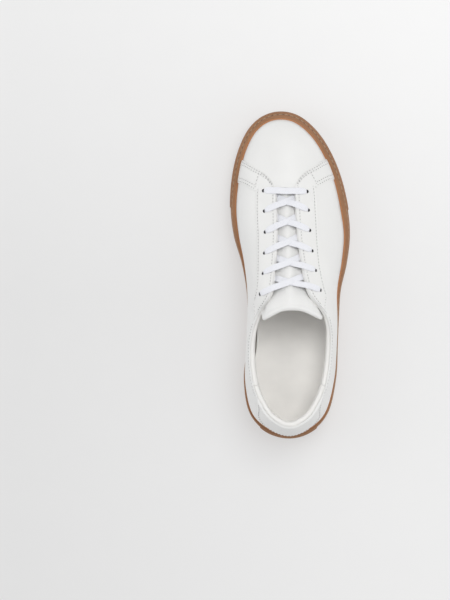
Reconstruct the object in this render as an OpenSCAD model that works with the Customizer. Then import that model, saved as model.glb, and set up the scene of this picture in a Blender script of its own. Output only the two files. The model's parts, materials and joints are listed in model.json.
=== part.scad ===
// Low-top court shoe for the right foot, about EU 43: a sewn rubber cup sole under a lined leather upper.
// +Y points to the toe, +X to the outer side, +Z up. The origin is on the ground under the sole's middle.

/* [Sole] */
// Rise of the toe end above the ground
toe_spring = 9; // [5:0.5:12]
// Height of the upper's lower edge above the ground at the heel
seat_heel = 19; // [17:0.5:21]
// Height of the upper's lower edge above the ground at the ball
seat_ball = 13.5; // [13:0.5:15]
// Thickness of the rubber floor of the cup
floor_t = 4; // [3:0.5:5]
// How far the toe and heel bumpers stand proud of the side wall
bumper_t = 0.5; // [0.2:0.1:0.8]
// Depth of the tread grooves
tread_depth = 1.5; // [0.5:0.25:2]
// Number of zigzag tread grooves
tread_count = 16; // [8:1:18]
// Diameter of the waxed thread round the side wall
sole_thread_d = 0.9; // [0.6:0.1:1]

/* [Inside] */
// Thickness of the lasting board
board_t = 1.5; // [1:0.25:2]
// Thickness of the foam footbed at the heel
footbed_heel_t = 5; // [3:0.5:6]
// Thickness of the foam footbed at the toe
footbed_toe_t = 3; // [2:0.5:4]
// Thickness of the leather glued over the footbed
footbed_cover_t = 1; // [0.8:0.1:1.2]

/* [Upper] */
// Thickness of the outer leather
leather_t = 1.3; // [1.1:0.1:1.4]
// Thickness of the leather laid on top at the facings and the heel
overlay_t = 1.1; // [0.9:0.1:1.3]
// Thickness of the stiffeners between leather and lining
stiffener_t = 1; // [0.8:0.1:1.1]
// Thickness of the lining leather
lining_t = 1; // [0.8:0.1:1.1]
// How far the padded collar swells towards the ankle
collar_pad = 3.6; // [2:0.2:4.4]
// Width of the upper's edge that is turned in under the foot
turn_in = 11; // [8:1:13]

/* [Tongue and lace] */
// Thickness of the tongue leather
tongue_leather_t = 1; // [0.8:0.1:1.2]
// Thickness of the tongue foam along its middle
tongue_foam_t = 5; // [3:0.5:6]
// Diameter of the punched eyelets
eyelet_d = 4.4; // [4.2:0.1:5]
// Width of the flat lace
lace_w = 6; // [5:0.25:6.5]
// Thickness of the flat lace
lace_t = 1.2; // [1:0.1:1.4]
// Length of the aglets on the lace ends
aglet_l = 20; // [15:1:22]

/* [Hidden] */

// Room left between glued layers
gap = 0.15;

// ---- Driving curves. All of them run round the shoe through 28 stations: station 0 is the back of
// ---- the heel, 14 the tip of the toe, 1 to 13 lie on the outer side and 15 to 27 on the inner side.
STATIONS = 28;

// Outline of the sole seen from above
sole_outline = [
    [-1, -150], [20.3, -143.6], [35.6, -125.8], [42.7, -95], [44.2, -65], [45.3, -38], [47, -14],
    [52.6, 11], [55.4, 36], [53.6, 60], [47.6, 87], [38.2, 111], [25.5, 131], [9, 145.5],
    [-8, 150], [-24.5, 146], [-38, 134], [-47.6, 114], [-53.2, 90], [-55, 62], [-52, 36],
    [-44.8, 11], [-40.3, -14], [-39.3, -38], [-39.6, -65], [-42.8, -95], [-38.1, -125.5], [-23, -143.5]
];
// Top edge of the upper seen from above: collar, throat edges and the end of the vamp
top_edge = [
    [-1, -139], [9.3, -135.8], [21, -125.4], [32.5, -100], [36.8, -65], [33.5, -39], [17.5, -17.5],
    [11.3, 6], [7.6, 30], [5.6, 54], [4.8, 72], [4.4, 79.2], [1.8, 80.6], [-1.6, 81.2],
    [-4.9, 81.4], [-8.2, 81.2], [-11.6, 80.6], [-14.2, 79.2], [-13.2, 72], [-12.8, 54], [-12.8, 30],
    [-14.6, 6], [-17.8, -17.5], [-30.5, -39], [-36.8, -65], [-34, -100], [-22.5, -125.4], [-10.8, -135.8]
];
// Height of the collar's edge; the other stations lie on the instep
collar_z = [[0, 81], [1, 80.5], [2, 77.5], [3, 70.5], [4, 66], [5, 76]];
// How far the upper's lower edge is set in from the sole's outline
seat_inset = [
    8.2, 8.2, 8.2, 8, 8, 8, 8.2, 8.2, 8.2, 8.8, 8.8, 8.8, 8.8, 8.8,
    8.8, 8.6, 8.4, 8.2, 8.2, 7.8, 8, 8.2, 8.4, 8.4, 8.2, 8, 8, 8.2
];
// Outward lean of the upper where it leaves the sole, in degrees
wall_lean = [
    25, 20, 27, 26, 29, 25, 23, 16, 13, 8, 6, 6, 10, 13,
    15, 14, 11, 7, 6, 10, 16, 27, 34, 34, 33, 30, 31, 22
];
// How far up the wall and how far down from the top edge each rib keeps its direction
wall_reach = [[0, 24], [3, 22], [4, 20], [5, 22], [7, 25], [14, 26]];
top_reach = [[0, 18], [2, 18], [4, 14], [5, 17], [6, 22], [8, 26], [10, 30], [14, 30]];
// Slope of the collar at its edge, in degrees below the horizontal
collar_slope = [[0, 84], [2, 83], [4, 78], [5, 66]];

// Where the seams and the eyelets lie: t counts stations, v runs from the sole (0) to the top edge (1)
lip_v = 0.16;
seam_a = [10.95, 17.27];        // front edge of the facings, over the vamp
seam_m = [10.52, 17.7];         // where vamp and quarters meet under the facings
seam_b = [10.08, 18.2];         // rear edge of the facings' feet
seam_lining = [2.95, 25.05];    // where the heel lining starts
facing_end = [5.15, 23.1];      // where the facings' slanted ends meet the collar
facing_v = 0.75;                // lower edge of the facings
eyelets_lateral = [[10.02, 0.87], [9.16, 0.868], [8.36, 0.866], [7.58, 0.858], [6.82, 0.845], [6.07, 0.825]];
eyelets_medial = [
    [18.05, 0.848], [18.93, 0.864], [19.73, 0.868], [20.53, 0.86], [21.32, 0.854], [22.09, 0.845]
];

// ---- Functions for the curves
function half_turn(t) = min(t % STATIONS, STATIONS - t % STATIONS);
function wrap(t) = t - STATIONS * floor(t / STATIONS);
function unit(v) = v / norm(v);
function spline(p, t) =
    let (k = floor(t), f = t - k, a = p[wrap(k - 1)], b = p[wrap(k)], c = p[wrap(k + 1)], d = p[wrap(k + 2)])
    b + f / 2 * (c - a + f * (2 * a - 5 * b + 4 * c - d + f * (3 * (b - c) + d - a)));
function outward(k) = let (d = sole_outline[wrap(k + 1)] - sole_outline[wrap(k - 1)]) unit([d.y, -d.x]);
out_dir = [for (k = [0:STATIONS - 1]) outward(k)];

// Rise of the ground side of the sole towards the toe
spring_from = 45;
function spring(y) = y > spring_from ? toe_spring * pow((y - spring_from) / (150 - spring_from), 2) : 0;
// Height of the upper's lower edge, and of everything that lies inside it, above the ground
seat_waist = seat_ball + (seat_heel - seat_ball) * 0.55;
inside_scale = 1.07;
function seat_z(y) = spring(y * inside_scale)
    + lookup(y, [[-150, seat_heel], [-60, seat_waist], [10, seat_ball + 0.5], [60, seat_ball]]);

// The instep: a ridge that climbs from the vamp to the ankle and falls away to both sides
instep_y = 83;
instep_z = 60.2;
function ridge_x(y) = -3.4 - 0.012 * (y - 30);
function ridge_z(y) = instep_z + 0.28 * (instep_y - y) + 0.0008 * pow(max(instep_y - y, 0), 2)
    + 0.0075 * pow(max(-10 - y, 0), 2);
function instep(x, y) = ridge_z(y) - lookup(y, [[-20, 0.0145], [83, 0.012]]) * pow(x - ridge_x(y), 2);

// Four control points of the rib at station k, from the sole to the top edge
function rib(k) =
    let (
        n = out_dir[k],
        h = min(k, STATIONS - k),
        foot = sole_outline[k] - n * seat_inset[k],
        p0 = [foot.x, foot.y, seat_z(foot.y)],
        lean = wall_lean[k],
        p1 = p0 + lookup(h, wall_reach) * [n.x * sin(lean), n.y * sin(lean), cos(lean)],
        top = top_edge[k],
        collar = h <= 5,
        p3 = [top.x, top.y, collar ? lookup(h, collar_z) : instep(top.x, top.y)],
        u = unit(foot - top + (collar ? 20 : 0) * n),
        a = lookup(h, collar_slope),
        fall = instep(top.x + u.x / 2, top.y + u.y / 2) - instep(top.x - u.x / 2, top.y - u.y / 2),
        dir = collar ? [u.x * cos(a), u.y * cos(a), -sin(a)] : unit([u.x, u.y, fall]),
        p2 = p3 + lookup(h, top_reach) * dir
    )
    [p0, p1, p2, p3];
ribs = [for (k = [0:STATIONS - 1]) rib(k)];

// Point of the upper's base skin, and the same point moved out of it by o.
// v below 0 is the edge that is turned in under the foot.
turn_v = -0.2;
function wall_point(p, w, q) =
    p[0] * q * q * q + p[1] * 3 * w * q * q + p[2] * 3 * w * w * q + p[3] * w * w * w;
function turned_point(p, n) = [p.x - n.x, p.y - n.y, p.z + seat_z(p.y - n.y) - seat_z(p.y)];
function skin(t, v) =
    v >= 0 ? wall_point(spline(ribs, t), v, 1 - v)
    : turned_point(spline(ribs, t)[0], unit(spline(out_dir, t)) * turn_in * v / turn_v);
function skin_normal(t, v) =
    let (e = 0.02)
    unit(cross(skin(t + e, v) - skin(t - e, v), skin(t, v + e) - skin(t, v - e)));
function at(t, v, o) = skin(t, v) + o * skin_normal(t, v);

// Point of the sole's outline at t, moved in by w
function sole_point(t, w) = spline(sole_outline, t) - w * unit(spline(out_dir, t));
function sole_y(t) = spline(sole_outline, t).y;
function lip_z(t) = skin(t, lip_v).z;

// ---- Shapes

// Closed body through a stack of loops with the same number of points, each loop symmetric in t
module loft(rings) {
    n = len(rings[0]);
    r_end = len(rings) - 1;
    half = n / 2;
    ladder = [
        for (j = [0:half - 1]) [j, j + 1, (n - j - 1) % n],
        for (j = [1:half - 1]) [j, n - j - 1, n - j]
    ];
    walls = [
        for (r = [0:r_end - 1], j = [0:n - 1])
            let (a = r * n + j, b = r * n + (j + 1) % n)
            each [[a, a + n, b + n], [a, b + n, b]]
    ];
    bottom = [for (f = ladder) if (f[0] != f[1] && f[1] != f[2]) f];
    top = [for (f = bottom) [f[2] + r_end * n, f[1] + r_end * n, f[0] + r_end * n]];
    polyhedron([for (ring = rings, p = ring) p], concat(bottom, walls, top), convexity = 8);
}

// Sheet over a grid of [t, v] nodes between two distances from the base skin. keep(i, j) says whether
// the cell at row i, column j is part of the sheet, and place(a, b, o) gives a point of it.
module sheet(nodes, outer, inner, keep = function(i, j) true, place = function(a, b, o) at(a, b, o)) {
    ni = len(nodes) - 1;
    nj = len(nodes[0]) - 1;
    m = (ni + 1) * (nj + 1);
    points = concat(
        [for (row = nodes, p = row) place(p[0], p[1], outer(p[0], p[1]))],
        [for (row = nodes, p = row) place(p[0], p[1], inner(p[0], p[1]))]
    );
    function id(i, j) = i * (nj + 1) + j;
    function has(i, j) = i >= 0 && j >= 0 && i < ni && j < nj && keep(i, j);
    function wall(a, b) = [[a, a + m, b + m], [a, b + m, b]];
    faces = [
        for (i = [0:ni - 1], j = [0:nj - 1]) if (has(i, j))
            let (a = id(i, j), b = id(i, j + 1), c = id(i + 1, j + 1), d = id(i + 1, j))
            each concat(
                [[a, b, c], [a, c, d], [c + m, b + m, a + m], [d + m, c + m, a + m]],
                has(i - 1, j) ? [] : wall(a, b),
                has(i, j + 1) ? [] : wall(b, c),
                has(i + 1, j) ? [] : wall(c, d),
                has(i, j - 1) ? [] : wall(d, a)
            )
    ];
    used = [for (i = [0:ni], j = [0:nj]) has(i, j) || has(i - 1, j) || has(i, j - 1) || has(i - 1, j - 1)];
    if (min([for (u = used) u ? 1 : 0]) == 1) polyhedron(points, faces, convexity = 10);
    else {
        ids = [for (k = [0:m - 1]) if (used[k]) k];
        new_id = [for (k = [0:m - 1]) used[k] ? search(k, ids)[0] : -1];
        count = len(ids);
        polyhedron(
            concat([for (k = ids) points[k]], [for (k = ids) points[k + m]]),
            [for (f = faces) [for (k = f) k < m ? new_id[k] : new_id[k - m] + count]],
            convexity = 10
        );
    }
}

function grid(ts, vs) = [for (t = ts) [for (v = vs) [t, v]]];
function steps(a, b, n) = [for (i = [0:n]) a + (b - a) * i / n];
function level(o) = function(t, v) o;

// Thread or band swept along points; sides gives its width's direction, wide and thick its size at each point
module sweep(points, sides, wide, thick, facets = 6, closed = false) {
    n = len(points);
    ends = closed ? n : n - 1;
    rings = [
        for (k = [0:n - 1])
            let (
                before = points[closed ? (k + n - 1) % n : max(k - 1, 0)],
                after = points[closed ? (k + 1) % n : min(k + 1, n - 1)],
                t = unit(after - before),
                s = unit(sides[k] - t * (sides[k] * t)),
                u = cross(t, s)
            )
            [for (a = [0:facets - 1])
                let (w = 360 * (a + 0.5) / facets)
                points[k] + s * cos(w) * wide(k) / 2 + u * sin(w) * thick(k) / 2]
    ];
    tube = [
        for (k = [0:ends - 1], a = [0:facets - 1])
            let (
                p = k * facets + a,
                q = k * facets + (a + 1) % facets,
                r = ((k + 1) % n) * facets + a,
                s = ((k + 1) % n) * facets + (a + 1) % facets
            )
            each [[p, r, s], [p, s, q]]
    ];
    caps = closed ? [] : [
        for (a = [1:facets - 2]) [0, a, a + 1],
        for (a = [1:facets - 2]) [0, a + 1, a] + [1, 1, 1] * (n - 1) * facets
    ];
    polyhedron([for (ring = rings, p = ring) p], concat(tube, caps), convexity = 10);
}

// ---- Levels of the layers, measured outwards from the base skin
overlay_gap = 0.3;
overlay_in = leather_t + overlay_gap;
overlay_out = overlay_in + overlay_t;
stiffener_in = -gap - stiffener_t;
lining_out = stiffener_in - gap;
lining_in = lining_out - lining_t;
lace_gap = 0.35;
stitch_room = 0.65;
lace_over = overlay_out + stitch_room + lace_t / 2;
lace_under = lining_in - lace_gap - lace_t / 2;
tongue_top = lining_in - lace_t - 1.2;
foot_gap = 0.3;
side_gap = 3;

// Rows and columns that the layers share
wall_rows = [turn_v, turn_v / 2, 0, 0.08, lip_v, 0.27, 0.39, 0.52, 0.64, facing_v, 0.86, 1];
facing_rows = [facing_v, 0.86, 1];
top_rows = concat([0.64], facing_rows);
seam_gap = 0.01;
vamp_columns = concat([seam_m[0] + seam_gap], steps(seam_a[0], seam_a[1], 14), [seam_m[1] - seam_gap]);
lateral_columns = [seam_b[0], seam_m[0] - seam_gap];
medial_columns = [seam_m[1] + seam_gap, seam_b[1]];

// How far the lining stands in over the collar's foam
function collar_swell(t, v) = collar_pad
    * lookup(half_turn(wrap(t)), [[0, 1], [3.5, 1], [4.7, 0.7], [5.3, 0]])
    * lookup(v, [[0.64, 0], [0.75, 0.7], [0.86, 1], [0.95, 0.8], [1, 0.5]]);
lining_outer = function(t, v) lining_out - collar_swell(t, v);
lining_inner = function(t, v) lining_in - collar_swell(t, v);

// ---- Sole
flare = [[0, 1], [7, 1.4], [11, 2.6], [14, 2.8], [17, 2.6], [20, 1.2], [22, 0.5], [25, 0.5], [28, 1]];
bumper_toe = 9;
bumper_heel = 1.25;
step_w = 0.03;
groove_depth = 0.95;
cup_gap = 0.25;
half_columns = concat(
    [0, 0.42, 0.84], [bumper_heel - step_w, bumper_heel + step_w], steps(1.8, 8.5, 13),
    [bumper_toe - step_w, bumper_toe + step_w], steps(9.5, 14, 9)
);
sole_columns = concat(half_columns, [for (i = [len(half_columns) - 2:-1:1]) STATIONS - half_columns[i]]);
function proud(t) = half_turn(t) > bumper_toe || half_turn(t) < bumper_heel ? bumper_t / 2 : -bumper_t / 2;
function wall_slope(t, f) = lookup(t, flare) * f;
function seat_w(t) = spline(seat_inset, t);
function side(t, w, z) = let (p = sole_point(t, w)) [p.x, p.y, z];
function on_seat(t, w, dz) = let (p = sole_point(t, w)) [p.x, p.y, seat_z(p.y) + dz];
function floor_z(y) = spring(y * inside_scale) + floor_t;
function on_floor(t, w, dz) = let (p = sole_point(t, w)) [p.x, p.y, floor_z(p.y) + dz];
function on_ground(t, w) = let (p = sole_point(t, w)) [p.x, p.y, spring(p.y)];
function ring(f) = [for (t = sole_columns) f(t)];

module tread_cutters() {
    tread_l = 262;
    tread_start = -131;
    pitch = tread_l / tread_count;
    teeth = 8;
    amplitude = 3;
    width = 2.4;
    margin = 8;
    // Pairs of points across the sole, from heel to toe, that the grooves run between
    ladder = [for (t = [0.2:0.2:13.8]) [sole_point(t, margin), sole_point(STATIONS - t, margin)]];
    middles = [for (l = ladder) (l[0].y + l[1].y) / 2];
    for (k = [0:tread_count - 1]) {
        y = tread_start + pitch * (k + 0.5);
        i = len([for (m = middles) if (m < y) m]);
        a = ladder[i][0];
        b = ladder[i][1];
        path = [for (j = [0:teeth]) a + (b - a) * j / teeth + [0, j % 2 == 0 ? 0 : amplitude]];
        back = [for (j = [teeth:-1:0]) path[j] + [0, width]];
        translate([0, 0, -1])
            linear_extrude(1 + tread_depth + spring(y)) polygon(concat(path, back));
    }
}

module outsole() {
    color("#a9805c")
    difference() {
        loft([
            ring(function(t) on_ground(t, 4.5)),
            ring(function(t) side(t, 1.4, spring(sole_y(t)) + 1.6)),
            ring(function(t) side(t, 0.2 - proud(t), spring(sole_y(t)) + 4.5)),
            ring(function(t) side(t, -proud(t), spring(sole_y(t)) + 8)),
            ring(function(t) side(t, wall_slope(t, 0.45) - proud(t), lip_z(t) - 7.6)),
            ring(function(t) side(t, wall_slope(t, 0.6) + bumper_t / 2, lip_z(t) - 7)),
            ring(function(t) side(t, wall_slope(t, 0.75) + bumper_t / 2, lip_z(t) - 5)),
            ring(function(t) side(t, wall_slope(t, 0.75) + groove_depth, lip_z(t) - 4.6)),
            ring(function(t) side(t, wall_slope(t, 0.8) + groove_depth, lip_z(t) - 3.6)),
            ring(function(t) side(t, wall_slope(t, 0.8) + bumper_t / 2, lip_z(t) - 3.2)),
            ring(function(t) side(t, wall_slope(t, 1), lip_z(t) - 0.8)),
            ring(function(t) side(t, wall_slope(t, 1) + 0.6, lip_z(t))),
            ring(function(t) at(t, lip_v, leather_t + cup_gap)),
            ring(function(t) at(t, lip_v / 2, leather_t + cup_gap)),
            ring(function(t) on_seat(t, seat_w(t) - leather_t - 2 * gap, -leather_t - gap)),
            ring(function(t) on_seat(t, seat_w(t) + 0.5, -leather_t - gap)),
            ring(function(t) on_floor(t, seat_w(t) + 1, 0))
        ]);
        tread_cutters();
    }
}

module sole_stitching() {
    thread_out = sole_thread_d / 2 + 0.05;
    color("#b08a66")
    sweep(
        ring(function(t) side(t, wall_slope(t, 0.78) + groove_depth - thread_out, lip_z(t) - 4.1)),
        [for (t = sole_columns) [0, 0, 1]],
        function(k) sole_thread_d * 0.9, function(k) sole_thread_d * 0.9, 4, true
    );
}

// Slab inside the cup: inset from the upper's lower edge, between two heights above the seat
module seat_slab(inset, low, high) {
    loft([
        ring(function(t) on_seat(t, seat_w(t) + inset, low(sole_y(t)))),
        ring(function(t) on_seat(t, seat_w(t) + inset, high(sole_y(t))))
    ]);
}

module midsole_cushion() {
    color("#d9d4c8")
    loft([
        ring(function(t) on_floor(t, seat_w(t) + 1.3, gap)),
        ring(function(t) on_seat(t, seat_w(t) + 0.8, -leather_t - 2 * gap))
    ]);
}

module bottom_filler() {
    color("#c8a878")
    seat_slab(turn_in + 1, function(y) -leather_t - gap, function(y) -lining_in);
}

board_low = -lining_in + 0.15;
footbed_low = board_low + board_t + foot_gap;
function footbed_t(y) = lookup(y, [[-100, footbed_heel_t], [100, footbed_toe_t]]);

module lasting_board() {
    color("#cdbb95")
    seat_slab(side_gap, function(y) board_low, function(y) board_low + board_t);
}

module footbed_foam() {
    color("#e6e2da")
    seat_slab(side_gap + foot_gap, function(y) footbed_low, function(y) footbed_low + footbed_t(y));
}

module footbed_cover() {
    color("#e3ded4")
    seat_slab(side_gap + foot_gap, function(y) footbed_low + footbed_t(y) + gap,
        function(y) footbed_low + footbed_t(y) + gap + footbed_cover_t);
}

// ---- Upper
module punch(eyelets) {
    for (e = eyelets) {
        n = skin_normal(e[0], e[1]);
        translate(skin(e[0], e[1]))
            rotate([0, acos(n.z), atan2(n.y, n.x)])
                cylinder(h = 12, d = eyelet_d, center = true, $fn = 32);
    }
}

module vamp() {
    color("#f2f2ef")
    sheet(grid(vamp_columns, wall_rows), level(leather_t), level(0));
}

module quarter_lateral() {
    color("#f0f0ed")
    difference() {
        sheet(grid(concat([seam_gap], steps(0.5, 10, 19), lateral_columns), wall_rows),
            level(leather_t), level(0));
        punch(eyelets_lateral);
    }
}

module quarter_medial() {
    color("#f0f0ed")
    difference() {
        sheet(grid(concat(medial_columns, steps(18.5, 27.5, 18), [STATIONS - seam_gap]), wall_rows),
            level(leather_t), level(0));
        punch(eyelets_medial);
    }
}

// Facing with a foot down to the sole. Its slanted end meets the collar at end; dir is +1 on the outer side.
foot_rows = [lip_v + 0.01, 0.27, 0.39, 0.52, 0.64];
module eyestay(columns, end, dir, in_foot) {
    end_row = [for (v = concat(foot_rows, [0.8, 0.89, 1])) [end + dir * 2 * (1 - max(v, 0.8)), v]];
    rows = grid(columns, concat(foot_rows, facing_rows));
    cells = len(foot_rows);
    nodes = dir > 0 ? concat([end_row], rows) : concat(rows, [end_row]);
    sheet(nodes, level(overlay_out), level(overlay_in), function(i, j) j >= cells || in_foot(i));
}

module eyestay_lateral() {
    color("#f4f4f1")
    difference() {
        eyestay(concat(steps(6, 10, 8), [seam_b[0], seam_m[0], seam_a[0]]), facing_end[0], 1,
            function(i) i >= 10);
        punch(eyelets_lateral);
    }
}

module eyestay_medial() {
    color("#f4f4f1")
    difference() {
        eyestay(concat([seam_a[1], seam_m[1], seam_b[1]], steps(18.5, 22, 7), [22.4]), facing_end[1], -1,
            function(i) i < 2);
        punch(eyelets_medial);
    }
}

// Half of the heel tab's width, in stations, by its height
tab_half = [[0.45, 1.2], [0.52, 1.6], [0.64, 2], [1, 2.5]];
module heel_tab() {
    rows = [0.45, 0.52, 0.64, 0.75, 0.86, 1];
    color("#f4f4f1")
    sheet([for (s = steps(-1, 1, 12)) [for (v = rows) [s * lookup(v, tab_half), v]]],
        level(overlay_out), level(overlay_in));
}

module vamp_lining() {
    color("#e9e7e1")
    sheet(grid(vamp_columns, wall_rows), level(lining_out), level(lining_in));
}

module quarter_lining_lateral() {
    color("#e9e7e1")
    difference() {
        sheet(grid(concat([seam_lining[0] + seam_gap], steps(3.5, 10, 13), lateral_columns), wall_rows),
            lining_outer, lining_inner);
        punch(eyelets_lateral);
    }
}

module quarter_lining_medial() {
    color("#e9e7e1")
    difference() {
        sheet(grid(concat(medial_columns, steps(18.5, 24.5, 12), [seam_lining[1] - seam_gap]), wall_rows),
            lining_outer, lining_inner);
        punch(eyelets_medial);
    }
}

module heel_lining() {
    inner_end = seam_lining[1] - STATIONS + seam_gap;
    outer_end = seam_lining[0] - seam_gap;
    color("#e4e1da")
    sheet(grid(concat([inner_end], steps(-2.5, 2.5, 10), [outer_end]), wall_rows), lining_outer, lining_inner);
}

module toe_puff() {
    color("#d8d0bd")
    sheet(grid([for (i = [3:len(vamp_columns) - 4]) vamp_columns[i]], [for (i = [3:8]) wall_rows[i]]),
        level(-gap), level(stiffener_in));
}

module heel_counter() {
    color("#d8d0bd")
    sheet(grid(steps(-3.5, 3.5, 14), [for (i = [3:7]) wall_rows[i]]), level(-gap), level(stiffener_in));
}

module collar_foam() {
    color("#efe9c8")
    sheet(grid(steps(-5, 5, 20), top_rows), level(-gap),
        function(t, v) stiffener_in - collar_swell(t, v));
}

module eyestay_backing(columns) {
    sheet(grid(columns, facing_rows), level(-gap), level(stiffener_in));
}

module eyestay_backing_lateral() {
    color("#e2ddd0")
    difference() {
        eyestay_backing(concat(steps(5.5, 10, 9), [seam_b[0]]));
        punch(eyelets_lateral);
    }
}

module eyestay_backing_medial() {
    color("#e2ddd0")
    difference() {
        eyestay_backing(concat([seam_b[1]], steps(18.5, 22, 7), [22.5]));
        punch(eyelets_medial);
    }
}

// ---- Tongue: it follows the instep. q runs from the stitched end (0) to the free end (1), s across.
tongue_front = 90;
tongue_l = 119;
function tongue_mid(y) = lookup(y, [[-36, 2.5], [30, -2.4], [90, -5]]);
function tongue_half(y) = lookup(y, [[-36, 37.2], [-27, 33.2], [-16, 28.5], [30, 27], [60, 22], [90, 11]]);
// How far the tongue's margins hang below the instep where the facings close round the ankle
function tongue_droop(y) = lookup(y, [[-36, 8], [-27, 8.5], [-16, 6.5], [0, 3], [30, 2.4]]);
function instep_normal(x, y) =
    let (e = 0.5)
    unit([instep(x - e, y) - instep(x + e, y), instep(x, y - e) - instep(x, y + e), 2 * e]);
function over(x, y, o) = [x, y, instep(x, y)] + o * instep_normal(x, y);
function tongue_at(q, s, o) =
    let (y = tongue_front - q * (tongue_l + 3.5 * s * s * q * q))
    over(tongue_mid(y) + s * tongue_half(y), y, o - tongue_droop(y) * pow(s, 4));
function foam_t(q, s) = 0.8 + (tongue_foam_t - 0.8) * (1 - pow(s, 4))
    * lookup(q, [[0, 0.1], [0.25, 0.6], [0.5, 1], [0.93, 1], [1, 0.3]]);
tongue_grid = grid(steps(0, 1, 14), steps(-1, 1, 10));
on_tongue = function(q, s, o) tongue_at(q, s, o);
all_cells = function(i, j) true;

module tongue_shell() {
    color("#f1f1ee")
    sheet(tongue_grid, level(tongue_top), level(tongue_top - tongue_leather_t), all_cells, on_tongue);
}

module tongue_foam() {
    foam_top = tongue_top - tongue_leather_t - gap;
    color("#efe9c8")
    sheet(tongue_grid, level(foam_top), function(q, s) foam_top - foam_t(q, s), all_cells, on_tongue);
}

module tongue_lining() {
    foam_top = tongue_top - tongue_leather_t - gap;
    lining = 0.8;
    color("#e9e7e1")
    sheet(tongue_grid, function(q, s) foam_top - foam_t(q, s) - gap,
        function(q, s) foam_top - foam_t(q, s) - gap - lining, all_cells, on_tongue);
}

// ---- Lace. Each entry of its route is [point, direction of its width, width, thickness].
rows_of_holes = len(eyelets_lateral);
cross_lift = 0.75;
bar_sag = 1.1;
// A hole is [t, v, side], with side +1 on the outer side and -1 on the inner side
function hole(outer_side, row) =
    let (e = outer_side ? eyelets_lateral[row] : eyelets_medial[row]) [e[0], e[1], outer_side ? 1 : -1];
function hole_point(e, o) = at(e[0], e[1], o);
// The [t, v] of the skin that lies at the point p seen from above, found step by step from a near [t, v]
function found(p, t, v, tries = 5) =
    tries == 0 ? [t, v]
    : let (
        e = 0.02,
        c = skin(t, v),
        along_t = (skin(t + e, v) - skin(t - e, v)) / (2 * e),
        along_v = (skin(t, v + e) - skin(t, v - e)) / (2 * e),
        miss = p - [c.x, c.y],
        det = along_t.x * along_v.y - along_t.y * along_v.x,
        step_t = (miss.x * along_v.y - miss.y * along_v.x) / det,
        step_v = (along_t.x * miss.y - along_t.y * miss.x) / det
    )
    found(p, t + step_t, v + step_v, tries - 1);
// Point on the facing at a distance d from a hole, in the direction dir seen from above
station_l = 24.5;
function by_hole(e, dir, d) = let (c = skin(e[0], e[1])) found([c.x, c.y] + dir * d, e[0], e[1]);
// One entry of the route: point p, with the lace flat on a surface of normal n and running in direction dir
function laid(p, n, dir, width, thick) =
    let (w = cross(n, [dir.x, dir.y, 0])) [p, w.y > 0 ? w : -w, width, thick];
// How the flat lace turns into a hole: distance from the hole, share of its full height, share of its width
turn_steps = [[0.15, 0.84, 0.55], [0.9, 0.97, 0.66], [2.4, 1, 0.95], [5.5, 1, 1], [9.5, 1, 1], [13, 0.96, 1]];
function plump(share) = lace_t * (1.9 - 0.9 * share);
function turned(e, dir, o) = [
    for (s = turn_steps)
        let (n = by_hole(e, dir, s[0]))
        laid(at(n[0], n[1], o * s[1]), skin_normal(n[0], n[1]), dir, lace_w * s[2], plump(s[2]))
];
// The lace from hole a, under or over its facing, to hole b over b's facing; mid_o is its level half-way
function flat_run(a, b, from_under, mid_o) =
    let (
        pa = hole_point(a, 0),
        pb = hole_point(b, 0),
        dir = unit([pb.x - pa.x, pb.y - pa.y]),
        mid = (pa + pb) / 2
    )
    concat(
        turned(a, dir, from_under ? lace_under : lace_over),
        [laid(over(mid.x, mid.y, mid_o), instep_normal(mid.x, mid.y), dir, lace_w, lace_t)],
        reversed(turned(b, -dir, lace_over))
    );
// Inside a hole the lace is gathered narrower and thicker
hole_w = 3.2;
hole_t = 1.7;
function down_through(e) = [for (o = [0.9, -0.6]) [hole_point(e, o), [0, 1, 0.4], hole_w, hole_t]];
function reversed(list) = [for (i = [len(list) - 1:-1:0]) list[i]];

// One half of the lacing, from the first row's hole on one side up to the last row; lift keeps the two halves
// clear of each other where they cross
function strand(outer_side, lift) = [
    for (row = [0:rows_of_holes - 2])
        let (from_outer = row % 2 == 0 ? outer_side : !outer_side)
        each concat(
            down_through(hole(from_outer, row)),
            flat_run(hole(from_outer, row), hole(!from_outer, row + 1), true, lift * (from_outer ? 1 : -1))
        )
];
// The hidden end, turned forward between the facing's lining and the tongue; dir is +1 on the outer side
tail_v = 0.795;
// How it leaves the hole: steps in t and v, share of its full depth, share of its width
tail_turn = [[0.02, -0.006, 0.84, 0.6], [0.06, -0.02, 0.97, 0.7], [0.16, -0.045, 1, 0.85]];
tail_steps = steps(0.45, 3.05, 7);
tail_under = lace_under - 0.35;
// Entry of the tail at [t, v]; it runs towards the toe, so its width points down the facing
function tail_entry(t, v, dir, o, share) =
    [at(t, v, o), dir * cross([0, 1, 0], skin_normal(t, v)), lace_w * share, plump(share)];
function tail(e, dir) = concat(
    down_through(e),
    [
        for (s = tail_turn)
            tail_entry(e[0] + dir * s[0], e[1] + s[1], dir, tail_under * s[2], s[3])
    ],
    [for (s = tail_steps) tail_entry(e[0] + dir * s, tail_v, dir, tail_under, 0.9)]
);
last_row = rows_of_holes - 1;
outer_tail = tail(eyelets_lateral[last_row], 1);
inner_tail = tail(eyelets_medial[last_row], -1);
lace_route = concat(
    reversed(inner_tail),
    reversed(strand(true, cross_lift)),
    flat_run(hole(true, 0), hole(false, 0), false, lace_over - bar_sag),
    strand(false, cross_lift),
    outer_tail
);
// A six-sided ring is this much wider across its corners than across its flats
corner_share = 2 / sqrt(3);

module lace() {
    color("#f0f1f6")
    sweep([for (r = lace_route) r[0]], [for (r = lace_route) r[1]],
        function(k) lace_route[k][2] * corner_share, function(k) lace_route[k][3], 6);
}

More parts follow.
